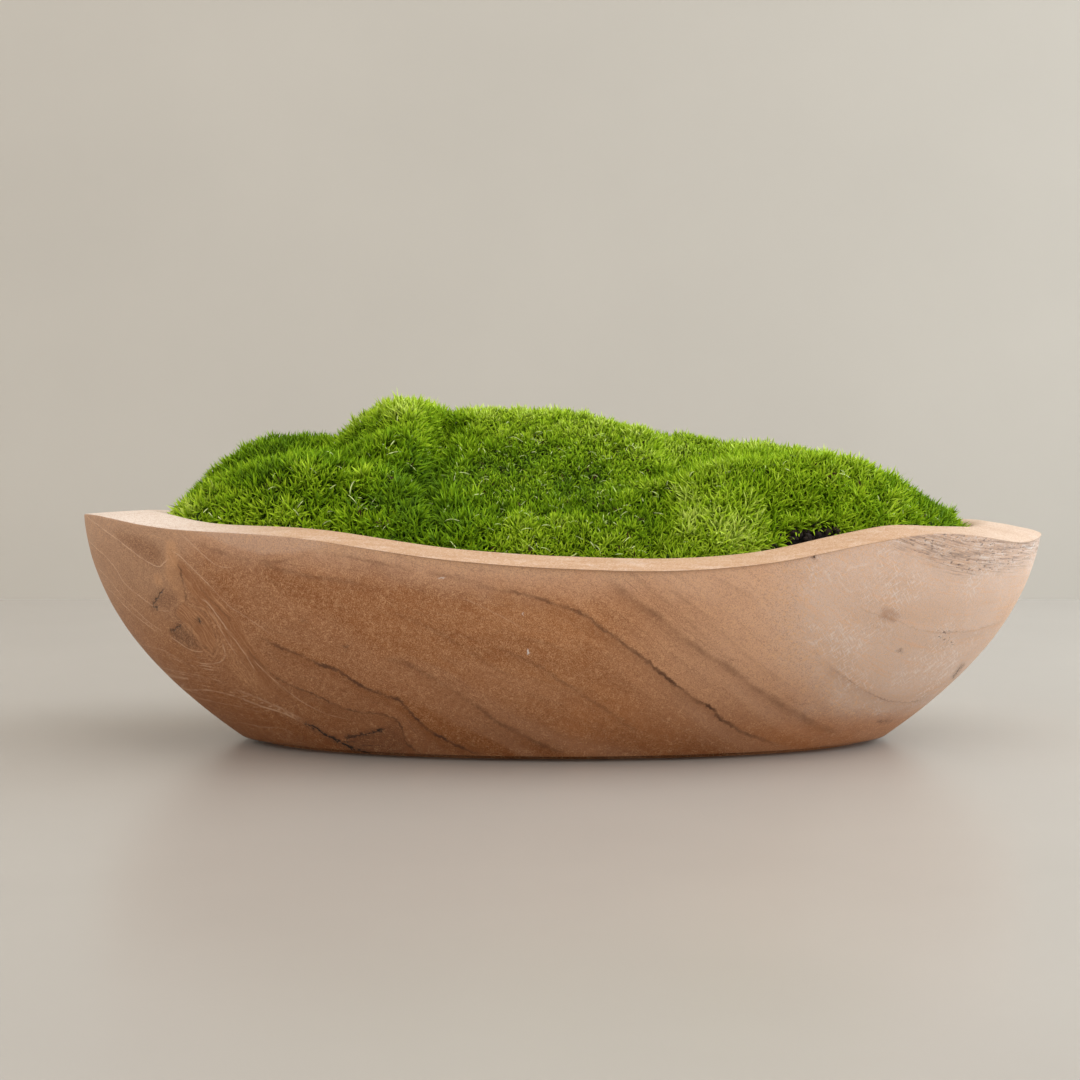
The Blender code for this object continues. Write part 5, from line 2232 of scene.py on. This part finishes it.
@dataclass
class SoilBed:
    """The soil: the CAD's bed with a crumbly top and loose crumbs where it shows."""

    draws: np.random.Generator
    blanket: Blanket
    crumbs: int = 700
    bare_crumbs: int = 560
    smallest: float = 0.0006
    largest: float = 0.0019
    scatter: float = 0.002
    roughness: float = 0.0011
    cuts: int = 5
    lump_waves: tuple = (240.0, 610.0)
    fine_lumps: float = 0.6
    least_weight: float = 0.05
    thick_weight: float = 12.0
    thick_at: float = 0.125
    thick_reach: float = 0.05
    thick_from: float = -0.055

    def roughen(self, bm: bmesh.types.BMesh) -> None:
        """Divide the bed's top finely and make it lumpy.

        Args:
            bm: The bed.
        """
        bmesh.ops.remove_doubles(bm, verts=bm.verts, dist=1e-5)
        low = min(face.calc_center_median().z for face in bm.faces if face.normal.z > 0.7)
        top = [face for face in bm.faces if face.normal.z > 0.5 and face.calc_center_median().z >= low]
        edges = list({edge for face in top for edge in face.edges if not edge.is_boundary
                      and all(other in top for other in edge.link_faces)})
        bmesh.ops.subdivide_edges(bm, edges=edges, cuts=self.cuts, use_grid_fill=True)
        bmesh.ops.triangulate(bm, faces=bm.faces)
        bm.normal_update()
        inner = [vert for vert in bm.verts if all(face.normal.z > 0.5 for face in vert.link_faces)]
        for vert in inner:
            coarse, fine = (noise.noise(vert.co * waves) for waves in self.lump_waves)
            vert.co.z += self.roughness * (coarse + self.fine_lumps * fine)
        bm.faces.ensure_lookup_table()

    def strewn(self, bm: bmesh.types.BMesh) -> list[Vector]:
        """Draw the places of the crumbs on the bed, most of them by the near wall at the right.

        Args:
            bm: The bed.

        Returns:
            The places.
        """
        faces = [face for face in bm.faces if face.normal.z > 0.5]
        weights = np.array([face.calc_area() * self.weight(face.calc_center_median()) for face in faces])
        picks = self.draws.choice(len(faces), size=self.crumbs, p=weights / weights.sum())
        return [faces[pick].calc_center_median() for pick in picks]

    def weight(self, place: Vector) -> float:
        """How likely a crumb is at a place."""
        thick = math.exp(-((place.x - self.thick_at) / self.thick_reach) ** 2)
        return self.least_weight + self.thick_weight * thick * (place.y < self.thick_from)

    def heaped(self) -> list[Vector]:
        """Draw the places of the crumbs on the bare patch, where they lie on the cushions' cores.

        Returns:
            The places.
        """
        spots = []
        middle, reaches = self.blanket.bare_spot, self.blanket.bare_reach
        for _ in range(self.bare_crumbs):
            share = math.sqrt(self.draws.uniform()) * 1.05
            turn = self.draws.uniform(0, 2 * math.pi)
            x = middle[0] + reaches[0] * share * math.cos(turn)
            y = middle[1] + reaches[1] * share * math.sin(turn)
            start, down = Vector((x, y, 1.0)), Vector((0.0, 0.0, -1.0))
            hits = [core.ray_cast(start, down)[0] for core in self.blanket.cores]
            if any(hits):
                spots.append(max(filter(None, hits), key=lambda hit: hit.z))
        return spots

    def build(self, material: Material) -> None:
        """Roughen a copy of the CAD's bed and lay the crumbs.

        Args:
            material: The soil.
        """
        bm = bmesh.new()
        bm.from_mesh(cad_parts["soil_bed"].data)
        self.roughen(bm)
        for spot in self.strewn(bm) + self.heaped():
            size = self.draws.uniform(self.smallest, self.largest)
            shift = Vector((*self.draws.uniform(-self.scatter, self.scatter, 2), size * 0.4))
            turn = self.draws.uniform(0, 6.28)
            spin = Matrix.Rotation(turn, 4, Vector(self.draws.normal(size=3)).normalized())
            squash = Matrix.Diagonal((*self.draws.uniform(0.6, 1.3, 3), 1.0))
            where = Matrix.Translation(spot + shift) @ spin @ squash
            bmesh.ops.create_icosphere(bm, subdivisions=1, radius=size, matrix=where)
        hand_over(link_object(mesh_of(bm, "soil_crumbs"), material, 35.0), "soil_bed")


@dataclass(frozen=True)
class Lamp:
    """A soft square light, with its place, its aim, its side in metres, its watts and its colour."""

    name: str
    place: tuple
    aim: tuple
    side: float
    power: float
    colour: tuple

    def build(self) -> None:
        """Hang the light and point it."""
        data = bpy.data.lights.new(self.name, "AREA")
        data.size = self.side
        data.energy = self.power
        data.color = self.colour
        lamp = add_object(data)
        lamp.location = self.place
        way = Vector(self.aim) - Vector(self.place)
        lamp.rotation_euler = way.to_track_quat("-Z", "Y").to_euler()


LAMPS = (
    Lamp("key", (1.8, -1.5, 1.6), (0.0, 0.0, 0.05), 3.0, 41.0, (0.98, 0.99, 1.0)),
    Lamp("fill", (-1.6, -2.0, 1.2), (0.0, 0.0, 0.05), 2.6, 19.0, (1.0, 0.99, 0.97)),
    Lamp("top", (0.45, 0.30, 2.2), (0.1, 0.1, 0.0), 2.8, 30.0, (1.0, 1.0, 1.0)),
    Lamp("side", (1.6, 0.45, 0.50), (0.5, 0.1, 0.0), 1.2, 35.0, (0.70, 0.86, 1.0)),
    Lamp("low", (-1.5, 0.35, 0.45), (-0.45, 0.05, 0.0), 1.0, 6.0, (1.0, 0.98, 0.94)),
)


@dataclass
class Studio:
    """A plain pale floor and wall in soft light, most of it from the upper right."""

    floor_colour: tuple = (176, 169, 160)
    floor_roughness: float = 0.27
    wall_colour: tuple = (187, 180, 169)
    wall_roughness: float = 0.9
    wall_distance: float = 0.72
    reach: float = 4.0
    floor_reach: float = 14.0
    sky_colour: tuple = (1.0, 0.99, 0.98, 1.0)
    sky_strength: float = 0.60

    def plane(self, name: str, place: Matrix, reach: float, material: Material) -> None:
        """Add one plain surface of the stage.

        Args:
            name: Its name.
            place: Where it stands.
            reach: How far it reaches from its middle.
            material: Its finish.
        """
        bm = bmesh.new()
        bmesh.ops.create_grid(bm, x_segments=1, y_segments=1, size=reach, matrix=place)
        link_object(mesh_of(bm, name), material, 30.0)

    def stage_material(self, name: str, colour: tuple, roughness: float, groups: Groups) -> Material:
        """A plain stage finish.

        Args:
            name: The material's name.
            colour: Its colour.
            roughness: Its roughness.
            groups: The shared effects.

        Returns:
            The material.
        """
        material, tree, shader = new_material(name, None)
        coat = Coat(tree, colour)
        coat.mottled(groups, tree.place(), 5.0, 0.03)
        tree.feed_all(shader, {"Base Color": coat.colour, "Roughness": roughness, "Specular IOR Level": 0.4})
        return material

    def clear_from_behind(self, material: Material) -> None:
        """Let a material be seen through from behind, so that the wall hides nothing in other views.

        Args:
            material: The material.
        """
        tree = Tree(material.node_tree)
        nodes = material.node_tree.nodes
        behind = tree.node("ShaderNodeNewGeometry").outputs["Backfacing"]
        clear = tree.node("ShaderNodeBsdfTransparent").outputs[0]
        front = nodes["Principled BSDF"].outputs[0]
        both = tree.node("ShaderNodeMixShader", {0: behind, 1: front, 2: clear}).outputs[0]
        tree.feed(nodes["Material Output"].inputs["Surface"], both)

    def build(self, groups: Groups) -> None:
        """Set the stage and light it.

        Args:
            groups: The shared effects.
        """
        floor = self.stage_material("floor_finish", self.floor_colour, self.floor_roughness, groups)
        wall = self.stage_material("wall_finish", self.wall_colour, self.wall_roughness, groups)
        self.clear_from_behind(wall)
        self.plane("floor", Matrix.Identity(4), self.floor_reach, floor)
        middle = Matrix.Translation((0.0, self.wall_distance, self.reach))
        self.plane("wall", middle @ Matrix.Rotation(math.pi / 2, 4, "X"), self.reach, wall)
        for lamp in LAMPS:
            lamp.build()
        scene = bpy.context.scene
        scene.world = scene.world or bpy.data.worlds.new("studio")
        scene.world.use_nodes = True
        sky = scene.world.node_tree.nodes["Background"]
        sky.inputs["Color"].default_value = self.sky_colour
        sky.inputs["Strength"].default_value = self.sky_strength
        scene.view_settings.view_transform = "Standard"


def main() -> None:
    """Build every part of the scene in order."""
    logging.basicConfig(level=logging.INFO, format="%(name)s: %(message)s")
    photo = Photo()
    photo.build()
    groups = Groups.build()
    Bowl().build(photo, WoodFinish().build(groups))
    moss = MossFinish().build()
    shoots = Shoots(np.random.default_rng(23))
    shoots.build()
    blanket = Blanket()
    blanket.build()
    for number, growth in enumerate(GROWTHS):
        MossCushion(growth, shoots, blanket, np.random.default_rng(100 + number)).build(moss)
    SoilBed(np.random.default_rng(11), blanket).build(SoilFinish().build(groups))
    shoots.clear()
    Studio().build(groups)


if __name__ == "__main__":
    main()
